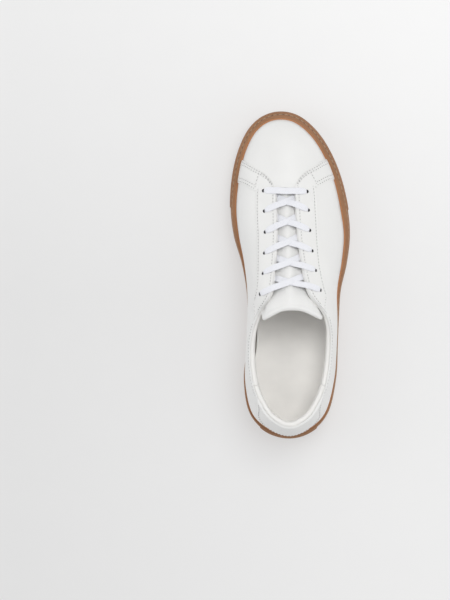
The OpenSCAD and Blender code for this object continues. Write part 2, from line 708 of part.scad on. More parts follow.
module aglet(e, dir) {
    first = tail_steps[len(tail_steps) - 1] + 0.02;
    width = 3.8;
    thick = 1.5;
    entries = [
        for (s = steps(first, first + aglet_l / station_l, 4))
            tail_entry(e[0] + dir * s, tail_v, dir, tail_under, 1)
    ];
    sweep([for (n = entries) n[0]], [for (n = entries) n[1]], function(k) width, function(k) thick, 8);
}

module aglets() {
    color("#e8e9ee") {
        aglet(eyelets_lateral[last_row], 1);
        aglet(eyelets_medial[last_row], -1);
    }
}

// ---- Stitches of the upper: one thread per row, lying on the leather
thread_w = 0.8;
thread_h = 0.4;
thread_lift = 0.15;
module thread(nodes, o) {
    points = [for (n = nodes) at(n[0], n[1], o + thread_h / 2 + thread_lift)];
    last_point = len(points) - 1;
    sides = [
        for (k = [0:last_point])
            let (run = points[min(k + 1, last_point)] - points[max(k - 1, 0)])
            cross(skin_normal(nodes[k][0], nodes[k][1]), run)
    ];
    sweep(points, sides, function(k) thread_w, function(k) thread_h, 4);
}

// Rows of one facing: double along its front edge a and its foot's rear edge b, single along the throat and
// the lower edge up to the slanted end
double_row = [0.06, 0.18];
module facing_threads(a, b, end, dir) {
    foot_v = lip_v + 0.04;
    for (d = double_row) thread([for (v = steps(foot_v, 0.97, 9)) [a - dir * d, v]], overlay_out);
    for (d = double_row) thread([for (v = steps(foot_v, 0.72, 6)) [b + dir * d, v]], overlay_out);
    thread([for (t = steps(end + dir * 0.4, a - dir * 0.3, 15)) [t, 0.975]], overlay_out);
    thread([for (t = steps(end + dir * 0.9, b, 12)) [t, facing_v + 0.02]], overlay_out);
}

module upper_stitching() {
    color("#fafafa") {
        facing_threads(seam_a[0], seam_b[0], facing_end[0], 1);
        facing_threads(seam_a[1], seam_b[1], facing_end[1], -1);
        thread([for (t = steps(-2.3, 2.3, 14)) [t, 0.96]], overlay_out);
        for (side = [-1, 1]) {
            thread([for (v = steps(0.5, 0.93, 6)) [side * (lookup(v, tab_half) - 0.16), v]], overlay_out);
            thread([for (t = steps(2.6, 4.7, 8)) [side * t, 0.965]], leather_t);
        }
    }
}

outsole();
sole_stitching();
midsole_cushion();
bottom_filler();
lasting_board();
footbed_foam();
footbed_cover();
vamp();
quarter_medial();
quarter_lateral();
eyestay_medial();
eyestay_lateral();
heel_tab();
vamp_lining();
quarter_lining_medial();
quarter_lining_lateral();
heel_lining();
toe_puff();
heel_counter();
collar_foam();
eyestay_backing_medial();
eyestay_backing_lateral();
tongue_shell();
tongue_foam();
tongue_lining();
lace();
aglets();
upper_stitching();
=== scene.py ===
"""The looks of a low-top court shoe for the right foot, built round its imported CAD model.

The leather, lining, rubber and lace follow the same curves as the CAD model, on much finer meshes.
Sizes are in millimetres until a mesh is made; MM turns them into Blender's metres.
"""
import json
import math

import bmesh
import bpy
import numpy as np
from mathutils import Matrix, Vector


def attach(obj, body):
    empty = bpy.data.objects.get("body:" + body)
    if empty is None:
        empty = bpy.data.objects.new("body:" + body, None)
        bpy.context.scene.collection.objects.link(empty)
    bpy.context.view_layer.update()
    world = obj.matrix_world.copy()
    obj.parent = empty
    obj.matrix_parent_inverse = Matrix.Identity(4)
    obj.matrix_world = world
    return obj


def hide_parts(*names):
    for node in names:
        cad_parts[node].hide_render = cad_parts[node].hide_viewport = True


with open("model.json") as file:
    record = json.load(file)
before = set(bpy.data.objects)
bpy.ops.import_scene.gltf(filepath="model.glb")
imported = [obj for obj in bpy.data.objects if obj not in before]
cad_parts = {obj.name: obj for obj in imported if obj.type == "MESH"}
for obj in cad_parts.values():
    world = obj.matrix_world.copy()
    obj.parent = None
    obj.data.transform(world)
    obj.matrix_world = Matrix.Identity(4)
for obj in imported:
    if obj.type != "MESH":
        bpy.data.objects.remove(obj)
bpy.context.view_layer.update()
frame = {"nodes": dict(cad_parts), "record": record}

MM = 0.001
SHOE, TONGUE, FOOTBED = "shoe", "tongue", "footbed"
SLOTS = {entry["slot"]: entry for entry in frame["record"]["materials"]}
rng = np.random.default_rng(7)


def placed(name, data):
    """A new object in the scene."""
    made = bpy.data.objects.new(name, data)
    bpy.context.scene.collection.objects.link(made)
    return made


# ---- Camera: straight down, with the shoe right of the middle, as the right one of a pair
VIEW_CENTRE = (-59.8 * MM, -23 * MM)
VIEW_HEIGHT = 552 * MM
# A very long lens, so that the view is nearly free of perspective
LENS, SENSOR = 800, 36

camera = placed("camera", bpy.data.cameras.new("camera"))
camera.data.lens, camera.data.sensor_width = LENS, SENSOR
camera.location = (*VIEW_CENTRE, VIEW_HEIGHT * LENS / SENSOR)
bpy.context.scene.camera = camera

# ---- Driving curves, in millimetres. They run round the shoe through 28 stations: station 0 is the back
# ---- of the heel, 14 the tip of the toe, 1 to 13 lie on the outer side and 15 to 27 on the inner side.
STATIONS = 28
SOLE_OUTLINE = [
    [-1, -150], [20.3, -143.6], [35.6, -125.8], [42.7, -95], [44.2, -65], [45.3, -38], [47, -14],
    [52.6, 11], [55.4, 36], [53.6, 60], [47.6, 87], [38.2, 111], [25.5, 131], [9, 145.5],
    [-8, 150], [-24.5, 146], [-38, 134], [-47.6, 114], [-53.2, 90], [-55, 62], [-52, 36],
    [-44.8, 11], [-40.3, -14], [-39.3, -38], [-39.6, -65], [-42.8, -95], [-38.1, -125.5], [-23, -143.5],
]
TOP_EDGE = [
    [-1, -139], [9.3, -135.8], [21, -125.4], [32.5, -100], [36.8, -65], [33.5, -39], [17.5, -17.5],
    [11.3, 6], [7.6, 30], [5.6, 54], [4.8, 72], [4.4, 79.2], [1.8, 80.6], [-1.6, 81.2],
    [-4.9, 81.4], [-8.2, 81.2], [-11.6, 80.6], [-14.2, 79.2], [-13.2, 72], [-12.8, 54], [-12.8, 30],
    [-14.6, 6], [-17.8, -17.5], [-30.5, -39], [-36.8, -65], [-34, -100], [-22.5, -125.4], [-10.8, -135.8],
]
COLLAR_Z = [[0, 81], [1, 80.5], [2, 77.5], [3, 70.5], [4, 66], [5, 76]]
SEAT_INSET = [
    8.2, 8.2, 8.2, 8, 8, 8, 8.2, 8.2, 8.2, 8.8, 8.8, 8.8, 8.8, 8.8,
    8.8, 8.6, 8.4, 8.2, 8.2, 7.8, 8, 8.2, 8.4, 8.4, 8.2, 8, 8, 8.2,
]
WALL_LEAN = [
    25, 20, 27, 26, 29, 25, 23, 16, 13, 8, 6, 6, 10, 13,
    15, 14, 11, 7, 6, 10, 16, 27, 34, 34, 33, 30, 31, 22,
]
WALL_REACH = [[0, 24], [3, 22], [4, 20], [5, 22], [7, 25], [14, 26]]
TOP_REACH = [[0, 18], [2, 18], [4, 14], [5, 17], [6, 22], [8, 26], [10, 30], [14, 30]]
COLLAR_SLOPE = [[0, 84], [2, 83], [4, 78], [5, 66]]
SEAT_HEEL, SEAT_BALL = 19, 13.5
SEAT_WAIST = SEAT_BALL + (SEAT_HEEL - SEAT_BALL) * 0.55
TOE_SPRING, SPRING_FROM = 9, 45
INSTEP_Y, INSTEP_Z = 83, 60.2
TURN_IN = 11
# v of the rows of the turned-in edge, from its end
SHEET_LOW = (-0.2, -0.1, -0.03)

# Seams and eyelets: t counts stations, v runs from the sole (0) to the top edge (1). The outer side has
# the key +1 and the inner side -1. The facing's foot lies between seams A and B, over the quarter's end M.
OUTER, INNER = +1, -1
LIP_V = 0.16
SEAM_A = {OUTER: 10.95, INNER: 17.27}
SEAM_M = {OUTER: 10.52, INNER: 17.7}
SEAM_B = {OUTER: 10.08, INNER: 18.2}
SEAM_LINING = {OUTER: 2.95, INNER: 25.05}
EYELETS = {
    OUTER: [(10.02, 0.87), (9.16, 0.868), (8.36, 0.866), (7.58, 0.858), (6.82, 0.845), (6.07, 0.825)],
    INNER: [(18.05, 0.848), (18.93, 0.864), (19.73, 0.868), (20.53, 0.86), (21.32, 0.854), (22.09, 0.845)],
}
EYELET_R = 1.75

# Levels of the layers, outwards from the base skin
LEATHER_T = 1.3
OVERLAY_IN, OVERLAY_OUT = 1.32, 2.45
LINING_OUT, LINING_IN, LINING_T = -1.3, -2.3, 1.0


def table(x, points):
    """Straight-line lookup in a list of [x, value]."""
    xs, ys = zip(*points)
    return np.interp(x, xs, ys)


def soft_table(x, points, width=0.14, steps=9):
    """A table lookup with its corners rounded over a width in x."""
    return sum(table(np.abs(x + shift), points) for shift in np.linspace(-width, width, steps)) / steps


def smooth(x, a, b):
    """0 below a, 1 above b and a smooth step between them."""
    u = np.clip((np.asarray(x, float) - a) / (b - a), 0, 1)
    return u * u * (3 - 2 * u)


def bell(x, width):
    """A bump of height 1 at zero that fades over about a width."""
    return np.exp(-((x / width) ** 2))


def line(start, end, count=60):
    return np.linspace(start, end, count)


def cols(*parts):
    """Joins coordinates into points."""
    return np.stack(np.broadcast_arrays(*parts), -1)


def times(vectors, lengths):
    return vectors * np.asarray(lengths)[..., None]


def unit(vectors):
    vectors = np.asarray(vectors, float)
    return vectors / np.linalg.norm(vectors, axis=-1, keepdims=True)


def half_turn(t):
    """Stations from the back of the heel, the shorter way round."""
    t = np.asarray(t, float) % STATIONS
    return np.minimum(t, STATIONS - t)


def spline(values, t):
    """Closed Catmull-Rom curve through one value for each station."""
    values = np.asarray(values, float)
    t = np.asarray(t, float) % STATIONS
    k = np.floor(t).astype(int)
    f = (t - k).reshape(t.shape + (1,) * (values.ndim - 1))
    a, b, c, d = (values[(k + step) % STATIONS] for step in (-1, 0, 1, 2))
    return b + f / 2 * (c - a + f * (2 * a - 5 * b + 4 * c - d + f * (3 * (b - c) + d - a)))


def spring(y):
    """Rise of the sole's underside towards the toe."""
    rise = np.maximum(np.asarray(y, float) - SPRING_FROM, 0) / (150 - SPRING_FROM)
    return TOE_SPRING * rise * rise


def seat_z(y):
    """Height of the upper's lower edge."""
    flat = [[-150, SEAT_HEEL], [-60, SEAT_WAIST], [10, SEAT_BALL + 0.5], [60, SEAT_BALL]]
    return spring(np.asarray(y, float) * 1.07) + table(y, flat)


def instep(x, y):
    """Height of the instep: a ridge that climbs towards the ankle and falls away to both sides."""
    x, y = np.asarray(x, float), np.asarray(y, float)
    up = np.maximum(INSTEP_Y - y, 0)
    ridge_z = INSTEP_Z + 0.28 * (INSTEP_Y - y) + 0.0008 * up**2 + 0.0075 * np.maximum(-10 - y, 0) ** 2
    ridge_x = -3.4 - 0.012 * (y - 30)
    return ridge_z - table(y, [[-20, 0.0145], [83, 0.012]]) * (x - ridge_x) ** 2


def instep_normal(x, y, e=0.5):
    slope_x, slope_y = instep(x - e, y) - instep(x + e, y), instep(x, y - e) - instep(x, y + e)
    return unit(cols(slope_x, slope_y, 2 * e))


def outline_normals():
    d = np.roll(SOLE_OUTLINE, -1, 0) - np.roll(SOLE_OUTLINE, 1, 0)
    return unit(cols(d[:, 1], -d[:, 0]))


OUT_DIR = outline_normals()


def rib(k):
    """Four control points of the wall's curve at station k, from the sole to the top edge."""
    n, h = OUT_DIR[k], min(k, STATIONS - k)
    foot = np.array(SOLE_OUTLINE[k]) - n * SEAT_INSET[k]
    p0 = np.array([*foot, seat_z(foot[1])])
    lean = math.radians(WALL_LEAN[k])
    p1 = p0 + table(h, WALL_REACH) * np.array([*(n * math.sin(lean)), math.cos(lean)])
    top = np.array(TOP_EDGE[k], float)
    collar = h <= 5
    p3 = np.array([*top, table(h, COLLAR_Z) if collar else instep(*top)])
    u = unit(foot - top + (20 * n if collar else 0))
    a = math.radians(table(h, COLLAR_SLOPE))
    fall = instep(*(top + u / 2)) - instep(*(top - u / 2))
    down = np.array([*(u * math.cos(a)), -math.sin(a)]) if collar else unit([*u, fall])
    return [p0, p1, p3 + table(h, TOP_REACH) * down, p3]


RIBS = np.array([rib(k) for k in range(STATIONS)])


def skin(t, v):
    """Point of the upper's base skin. v below 0 is the edge that is turned in under the foot."""
    t, v = np.broadcast_arrays(np.asarray(t, float), np.asarray(v, float))
    p = spline(RIBS, t)
    w = np.maximum(v, 0)[..., None]
    q = 1 - w
    shares = (q**3, 3 * w * q**2, 3 * w**2 * q, w**3)
    point = sum(p[..., k, :] * share for k, share in enumerate(shares))
    inwards = times(unit(spline(OUT_DIR, t)), np.minimum(v, 0) / -SHEET_LOW[0] * TURN_IN)
    lifted = np.where(v < 0, seat_z(point[..., 1] + inwards[..., 1]) - seat_z(point[..., 1]), 0)
    return point + cols(inwards[..., 0], inwards[..., 1], lifted)


def skin_normal(t, v, e=0.02):
    return unit(np.cross(skin(t + e, v) - skin(t - e, v), skin(t, v + e) - skin(t, v - e)))


def at(t, v, o):
    """Point at a distance o out of the base skin."""
    t, v, o = np.broadcast_arrays(*(np.asarray(x, float) for x in (t, v, o)))
    return skin(t, v) + times(skin_normal(t, v), o)


def sole_point(t, w):
    """Point of the sole's outline, moved in by w."""
    return spline(SOLE_OUTLINE, t) - times(unit(spline(OUT_DIR, t)), w)


# ---- Meshes
def solid_mesh(name, points, faces):
    """A mesh from points in millimetres, with no loose points and its faces turned outwards."""
    mesh = bpy.data.meshes.new(name)
    mesh.from_pydata((np.asarray(points) * MM).tolist(), [], [list(f) for f in faces])
    work = bmesh.new()
    work.from_mesh(mesh)
    bmesh.ops.delete(work, geom=[v for v in work.verts if not v.link_faces], context="VERTS")
    bmesh.ops.recalc_face_normals(work, faces=work.faces)
    work.to_mesh(mesh)
    work.free()
    return mesh


def piece(name, points, faces, body, slot, node):
    """A smooth-shaded piece that rides on a body and stands for a CAD node."""
    made = placed(name, solid_mesh(name, points, faces))
    made.data.shade_smooth()
    dress(made, slot)
    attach(made, body)
    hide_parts(node)
    return made


def spots_of(mesh):
    """The points of a mesh, in millimetres."""
    spots = np.zeros(len(mesh.vertices) * 3)
    mesh.vertices.foreach_get("co", spots)
    return spots.reshape(-1, 3) / MM


def mark(mesh, name, values):
    """Gives each point of a mesh a number that its material reads."""
    layer = mesh.attributes.new(name, "FLOAT", "POINT")
    layer.data.foreach_set("value", values.astype(np.float32))


def dress(thing, slot):
    """Gives a piece or CAD node the material of its slot in the record."""
    thing.data.materials.clear()
    thing.data.materials.append(MATERIALS[slot])


def bevel(thing, width):
    """Rounds the sharp edges."""
    rounding = thing.modifiers.new("rounded_edges", "BEVEL")
    rounding.width = width * MM
    rounding.segments = 3
    rounding.limit_method = "ANGLE"
    rounding.angle_limit = math.radians(50)
    rounding.use_clamp_overlap = True


def sheet_faces(rows, columns, keep=None):
    """Faces of a closed sheet with two sides of rows x columns points each, and walls along its edges."""
    keep = np.ones((rows - 1, columns - 1), bool) if keep is None else keep
    ids = np.arange(rows * columns).reshape(rows, columns)
    a, b, c, d = ids[:-1, :-1], ids[:-1, 1:], ids[1:, 1:], ids[1:, :-1]
    under = rows * columns
    quads = [cols(*(x[keep] for x in (a, b, c, d))), cols(*(x[keep] + under for x in (d, c, b, a)))]
    around = np.pad(keep, 1)
    sides = [
        (a, b, around[:-2, 1:-1]), (b, c, around[1:-1, 2:]),
        (c, d, around[2:, 1:-1]), (d, a, around[1:-1, :-2]),
    ]
    for start, end, neighbour in sides:
        rim = keep & ~neighbour
        p, q = start[rim], end[rim]
        quads.append(cols(q, p, p + under, q + under))
    return np.concatenate(quads)


def sheet(name, outer, inner, body, slot, node, keep=None):
    """A closed sheet between two grids of points."""
    points = np.concatenate([outer.reshape(-1, 3), inner.reshape(-1, 3)])
    return piece(name, points, sheet_faces(*outer.shape[:2], keep), body, slot, node)


def tube_faces(rings, sides, closed=False):
    """Faces of a tube of rings, closed on itself or capped at both ends."""
    ids = np.arange(rings * sides).reshape(rings, sides)
    first, second = (ids, np.roll(ids, -1, 0)) if closed else (ids[:-1], ids[1:])
    a, b = first, np.roll(first, -1, 1)
    c, d = np.roll(second, -1, 1), second
    faces = cols(a, b, c, d).reshape(-1, 4).tolist()
    return faces if closed else faces + [ids[0][::-1].tolist(), ids[-1].tolist()]


def grid(ts, vs):
    return np.meshgrid(np.asarray(ts, float), np.asarray(vs, float), indexing="ij")


def cut_holes(t, v, holes, radius):
    """Moves the grid's nodes nearest each hole's rim onto it. Returns the nodes and the cells left."""
    t, v = t.copy(), v.copy()
    keep = np.ones((t.shape[0] - 1, t.shape[1] - 1), bool)
    for hole_t, hole_v in holes:
        centre, normal = skin(hole_t, hole_v), skin_normal(hole_t, hole_v)
        e = 0.01
        along_t = (skin(hole_t + e, hole_v) - skin(hole_t - e, hole_v)) / (2 * e)
        along_v = (skin(hole_t, hole_v + e) - skin(hole_t, hole_v - e)) / (2 * e)
        x_axis = unit(along_t - normal * (along_t @ normal))
        y_axis = np.cross(normal, x_axis)
        jacobian = np.array([[along_t @ x_axis, along_v @ x_axis], [along_t @ y_axis, along_v @ y_axis]])
        near = (np.abs(t - hole_t) < 0.4) & (np.abs(v - hole_v) < 0.12)
        offsets = skin(t[near], v[near]) - centre
        flat = cols(offsets @ x_axis, offsets @ y_axis)
        distance = np.maximum(np.linalg.norm(flat, axis=-1), 1e-6)
        cell = 0.5 * (np.linalg.norm(along_t) * np.median(np.abs(np.diff(t, axis=0)))
                      + np.linalg.norm(along_v) * np.median(np.abs(np.diff(v, axis=1))))
        all_distances = np.full(t.shape, 1e3)
        all_distances[near] = distance
        middles = (all_distances[:-1, :-1] + all_distances[1:, :-1]
                   + all_distances[:-1, 1:] + all_distances[1:, 1:]) / 4
        keep &= middles > radius
        on_rim = np.abs(distance - radius) < 0.78 * cell
        shift = times(flat, radius / distance - 1)[on_rim] @ np.linalg.inv(jacobian).T
        moved_t, moved_v = t[near], v[near]
        moved_t[on_rim] += shift[:, 0]
        moved_v[on_rim] += shift[:, 1]
        t[near], v[near] = moved_t, moved_v
    return t, v, keep


# ---- Materials
class Nodes:
    """Short names for building one material's nodes."""

    def __init__(self, material):
        self.tree = material.node_tree
        self.shader = self.tree.nodes["Principled BSDF"]
        self.coords = self.add("ShaderNodeTexCoord").outputs["Object"]

    def feed(self, socket, value):
        """Links an output to a socket, or sets the socket to a plain value."""
        if isinstance(value, bpy.types.NodeSocket):
            self.tree.links.new(value, socket)
        else:
            socket.default_value = value

    def add(self, kind, inputs=None, **settings):
        node = self.tree.nodes.new(kind)
        for key, value in settings.items():
            setattr(node, key, value)
        for key, value in (inputs or {}).items():
            self.feed(node.inputs[key], value)
        return node

    def put(self, **values):
        """Feeds the shader's own inputs, which are named with _ for each space."""
        for key, value in values.items():
            self.feed(self.shader.inputs[key.replace("_", " ")], value)

    def noise(self, scale, detail=2.0, roughness=0.5, vector=None):
        inputs = {"Vector": vector or self.coords, "Scale": scale, "Detail": detail, "Roughness": roughness}
        return self.add("ShaderNodeTexNoise", inputs).outputs["Fac"]

    def cells(self, scale, smoothness=0.35):
        inputs = {"Vector": self.coords, "Scale": scale, "Smoothness": smoothness}
        return self.add("ShaderNodeTexVoronoi", inputs, feature="SMOOTH_F1").outputs["Distance"]

    def math(self, operation, a, b=0.0):
        return self.add("ShaderNodeMath", {0: a, 1: b}, operation=operation).outputs[0]

    def times(self, a, b):
        return self.math("MULTIPLY", a, b)

    def plus(self, a, b, share):
        """a and a share of b."""
        return self.math("ADD", a, self.times(b, share))

    def ripple(self, value):
        """Ridges: the sine without its sign."""
        return self.math("ABSOLUTE", self.math("SINE", value))

    def spread(self, value, low, high, start=0.3, end=0.7):
        inputs = {"Value": value, "From Min": start, "From Max": end, "To Min": low, "To Max": high}
        return self.add("ShaderNodeMapRange", inputs).outputs["Result"]

    def blend(self, share, first, second):
        node = self.add("ShaderNodeMix", {"Factor": share}, data_type="RGBA")
        for socket, value in ((node.inputs[6], first), (node.inputs[7], second)):
            self.feed(socket, (*value, 1) if isinstance(value, tuple) else value)
        return node.outputs[2]

    def bump(self, height, depth, normal=None):
        """Adds relief of a depth in millimetres to what the normal already has."""
        inputs = {"Height": height, "Distance": depth * MM, "Strength": 1.0}
        if normal is not None:
            inputs["Normal"] = normal
        return self.add("ShaderNodeBump", inputs).outputs["Normal"]

    def marked(self, name):
        """What mark() gave the mesh under a name."""
        return self.add("ShaderNodeAttribute", attribute_name=name).outputs["Fac"]

    def strip(self):
        """Place across and along a thread or braid."""
        uv = self.add("ShaderNodeUVMap", uv_map="strip").outputs["UV"]
        split = self.add("ShaderNodeSeparateXYZ", {"Vector": uv})
        return split.outputs["X"], split.outputs["Y"]


def new_material(slot):
    """A slot's material, its nodes and the colour that the record gives it."""
    made = bpy.data.materials.new(slot)
    made.use_nodes = True
    colour = tuple(SLOTS[slot]["base_color"][:3])
    nodes = Nodes(made)
    nodes.put(Base_Color=(*colour, 1))
    return made, nodes, colour


def tint(colour, share):
    return tuple(min(1.0, c * share) for c in colour)


def shifted(colour, red, green, blue):
    return (colour[0] * red, colour[1] * green, colour[2] * blue)


# Painted shade for the eyelets' edges, which makes the holes look dark inside
HOLE_PAINTED_SHADE = (0.03, 0.033, 0.042)


def leather(slot, grain, relief, gloss, mottle, coat=0.0, shade=1.0):
    """Grained leather: pores of the given size in millimetres, soft hollows, a patchy sheen and painted shade
    at the eyelets.
    """
    made, n, colour = new_material(slot)
    colour = tint(colour, shade)
    pores, fine = n.cells(1000 / grain), n.noise(2400 / grain, 3.0, 0.6)
    patches, creases = n.noise(38, 3.0), n.noise(140, 4.0, 0.62)
    tone = n.blend(n.spread(patches, 0, 1), tint(colour, 1 - mottle), tint(colour, 1 + mottle / 2))
    tone = n.blend(n.spread(pores, 0.0, 0.35, 0.25, 0.0), tone, shifted(colour, 0.86, 0.86, 0.87))
    n.put(
        # Painted shade: the eyelets' marked edges are darkened so that the holes look dark inside
        Base_Color=n.blend(n.marked("cut"), tone, HOLE_PAINTED_SHADE),
        Roughness=n.spread(n.plus(patches, fine, 0.4), gloss - 0.05, gloss + 0.09, 0.4, 1.0),
        Normal=n.bump(n.plus(pores, fine, 0.5), relief, n.bump(creases, relief * 1.6)),
        Specular_IOR_Level=0.45, Coat_Weight=coat, Coat_Roughness=0.35,
    )
    return made


def rubber(slot):
    """Gum rubber: cloudy amber, fine level lines and pits, with painted shade in the groove and painted
    bounce light along the lip.
    """
    made, n, colour = new_material(slot)
    colour = shifted(colour, 0.92, 0.89, 0.87)
    clouds = n.noise(22, 4.0, 0.6)
    stretched = n.add("ShaderNodeMapping", {"Vector": n.coords, "Scale": (90, 90, 1400)}).outputs[0]
    lines = n.noise(1.0, 2.0, 0.5, stretched)
    body = n.blend(n.spread(clouds, 0, 1), shifted(colour, 0.9, 0.8, 0.68), shifted(colour, 1.08, 1.02, 0.9))
    body = n.blend(n.spread(lines, 0, 0.35, 0.45, 0.7), body, shifted(colour, 0.78, 0.74, 0.7))
    # Painted shade: darker along the sewn groove
    body = n.blend(n.marked("groove"), body, shifted(colour, 0.5, 0.42, 0.36))
    n.put(
        # Painted bounce light: lighter and warmer along the lip's inner edge, next to the white upper
        Base_Color=n.blend(n.marked("lip"), body, shifted(colour, 1.45, 1.2, 0.95)),
        Roughness=n.spread(clouds, 0.5, 0.68),
        Normal=n.bump(lines, 0.05, n.bump(n.noise(900, 2.0), 0.04)),
        Specular_IOR_Level=0.3,
        Subsurface_Weight=0.06, Subsurface_Radius=(0.004, 0.002, 0.001), Subsurface_Scale=0.4,
    )
    return made


def woven(slot, pitch, relief):
    """A flat braid: yarns cross at a slant, in the strip's own coordinates, with painted shade in the hollows
    between them.
    """
    made, n, colour = new_material(slot)
    across, run = n.strip()
    folded = n.math("ABSOLUTE", n.math("SUBTRACT", across, 0.5))
    chevron = n.plus(n.times(run, 1000 * math.tau / pitch), folded, 22.0)
    counter = n.plus(0.55, n.ripple(n.times(across, 34.0)), 0.45)
    weave = n.times(n.ripple(n.times(chevron, 0.5)), counter)
    fuzz = n.noise(2600, 3.0, 0.7)
    # Painted shade: the braid is darker in the hollows of the weave
    weave_shade = n.blend(n.spread(weave, 0, 1, 0.0, 0.7), shifted(colour, 0.8, 0.8, 0.83), colour)
    n.put(
        Base_Color=n.blend(n.spread(n.noise(60), 0, 0.4), weave_shade, tint(colour, 0.96)),
        Roughness=n.spread(fuzz, 0.62, 0.82),
        Normal=n.bump(n.plus(weave, fuzz, 0.35), relief),
        Sheen_Weight=0.25, Sheen_Roughness=0.5,
    )
    return made


def yarn(slot, pitch, relief):
    """Twisted thread: plies wind round each stitch with painted shade between them, and painted shade darkens
    its ends in their needle holes.
    """
    made, n, colour = new_material(slot)
    across, run = n.strip()
    turns = n.math("ADD", n.times(run, 1000 / pitch), across)
    ply = n.ripple(n.times(turns, math.pi))
    # Painted shade between the plies and painted highlight on their crests
    ply_shade = n.blend(ply, tint(colour, 0.82), tint(colour, 1.04))
    n.put(
        # Painted shade: the stitch ends are darkened where they sink into their needle holes
        Base_Color=n.blend(n.marked("needle_hole_shade"), ply_shade, tint(colour, 0.16)),
        Roughness=n.spread(n.noise(500), 0.5, 0.66),
        Normal=n.bump(n.plus(ply, n.noise(3000), 0.3), relief),
        Sheen_Weight=0.15,
    )
    return made


def foam(slot, cell):
    """Foam: open cells of a given size, dull and slightly uneven."""
    made, n, colour = new_material(slot)
    bubbles = n.cells(1000 / cell, 0.15)
    tone = n.blend(n.spread(n.noise(55, 3.0), 0, 1), tint(colour, 0.93), tint(colour, 1.03))
    n.put(
        Base_Color=n.blend(n.spread(bubbles, 0.16, 0, 0.0, 0.5), tone, tint(colour, 0.6)),
        Roughness=n.spread(bubbles, 0.78, 0.95),
        Normal=n.bump(bubbles, cell * 0.3),
    )
    return made


def fibreboard(slot, scale, contrast):
    """Pressed board, cork or felt: short flecks in two tones."""
    made, n, colour = new_material(slot)
    flecks, fibres = n.cells(scale, 0.1), n.noise(scale * 1.7, 4.0, 0.7)
    tone = n.blend(n.spread(fibres, 0, 1), tint(colour, 1 - contrast), tint(colour, 1 + contrast / 2))
    n.put(
        Base_Color=n.blend(n.spread(flecks, 0.4, 0, 0.0, 0.4), tone, tint(colour, 0.55)),
        Roughness=n.spread(fibres, 0.75, 0.92),
        Normal=n.bump(n.math("ADD", flecks, fibres), 0.12),
    )
    return made


def clear_tip(slot):
    """The lace's end, bound in a clear glossy film over the braid."""
    made, n, colour = new_material(slot)
    braid = n.noise(900, 3.0)
    n.put(
        Base_Color=n.blend(n.spread(braid, 0, 1), tint(colour, 0.9), colour),
        Roughness=n.spread(n.noise(200), 0.12, 0.22),
        Normal=n.bump(braid, 0.02),
        Coat_Weight=0.8,
    )
    return made


MATERIALS = {
    "gum_rubber": rubber("gum_rubber"),
    "sole_thread": yarn("sole_thread", 0.9, 0.1),
    "midsole_foam": foam("midsole_foam", 0.5),
    "filler": fibreboard("filler", 420, 0.3),
    "board": fibreboard("board", 700, 0.12),
    "footbed_foam": foam("footbed_foam", 0.7),
    "footbed_leather": leather("footbed_leather", 0.9, 0.03, 0.6, 0.05, shade=1.12),
    "upper_leather": leather("upper_leather", 0.75, 0.035, 0.42, 0.018, 0.08, 0.94),
    "lining_leather": leather("lining_leather", 1.1, 0.03, 0.55, 0.03),
    "stiffener": fibreboard("stiffener", 900, 0.1),
    "collar_foam": foam("collar_foam", 0.8),
    "lace_cotton": woven("lace_cotton", 1.5, 0.12),
    "aglet": clear_tip("aglet"),
    "upper_thread": yarn("upper_thread", 0.5, 0.04),
}


# ---- Stitches: rows given in (t, v), with one short arched thread per stitch
STITCH_PITCH, STITCH_L, STITCH_D = 3.0, 2.75, 0.56
FACING_LOW = {
    OUTER: [[5.0, 0.735], [5.9, 0.725], [7, 0.76], [10.3, 0.752]],
    INNER: [[17.7, 0.735], [22, 0.745], [22.35, 0.735], [23.2, 0.73]],
}
FACING_END = {OUTER: 5.15, INNER: 23.1}
TAB_HALF = [[0.45, 1.2], [0.52, 1.6], [0.64, 2.0], [1, 2.5]]
FRONT_BEND = [[0, -0.04], [0.3, 0], [0.6, 0.11], [0.78, 0.36], [0.89, 0.54], [0.96, 0.44], [1, 0.4]]
REAR_BEND = [[0, 0.035], [0.4, 0.035], [0.56, 0.01], [0.73, -0.14], [1, -0.14]]


def bent(t, v, side):
    """The facing's front edge and its foot's rear edge curve a little forward and back as they climb."""
    a, b = SEAM_A[side], SEAM_B[side]
    front = np.clip((t - b + side * 0.5) * side / (abs(a - b) + 0.5), 0, 1)
    rear = np.clip(1 - np.abs(t - b) / abs(a - b), 0, 1) * smooth(0.77 - v, 0, 0.05)
    return t + side * (front * table(v, FRONT_BEND) + rear * table(v, REAR_BEND))


def facing_rows(side):
    """Stitch rows of one facing, each a list of (t, v) nodes."""
    a, b = SEAM_A[side], SEAM_B[side]
    end = FACING_END[side]
    ts = line(end + side * 0.75, b - side * 0.02)
    rows = [line((a - side * d, LIP_V + 0.02), (a - side * d, 0.955)) for d in (0.07, 0.19)]
    rows += [line((b + side * d, LIP_V + 0.02), (b + side * d, 0.7)) for d in (0.07, 0.19)]
    rows.append(cols(line(end + side * 0.35, a - side * 0.22), 0.968))
    rows.append(cols(ts, table(ts, FACING_LOW[side]) + 0.024))
    rows.append(line((end + side * 0.2, 0.955), (end + side * 0.62, 0.77)))
    rows += [line((a - side * d, 0.73), (b + side * 0.12, 0.715), 14) for d in (0.2, 0.34)]
    return [cols(bent(*r.T, side), r[:, 1]) for r in rows]


def tab_rows():
    height = line(0.49, 0.96, 40)
    rows = [cols(side * (table(height, TAB_HALF) - 0.1), height) for side in (-1, 1)]
    return rows + [cols(line(-1.08, 1.08, 30), 0.475)]


OVERLAY_ROWS = facing_rows(OUTER) + facing_rows(INNER) + tab_rows()
# Along the collar's edge
LEATHER_ROWS = [cols(line(2.65, 5.0, 50), 0.962), cols(-line(2.65, 4.75, 50), 0.962)]


def run_along(path):
    """Distance along a path at each of its points."""
    return np.r_[0, np.cumsum(np.linalg.norm(np.diff(path, axis=0), axis=1))]


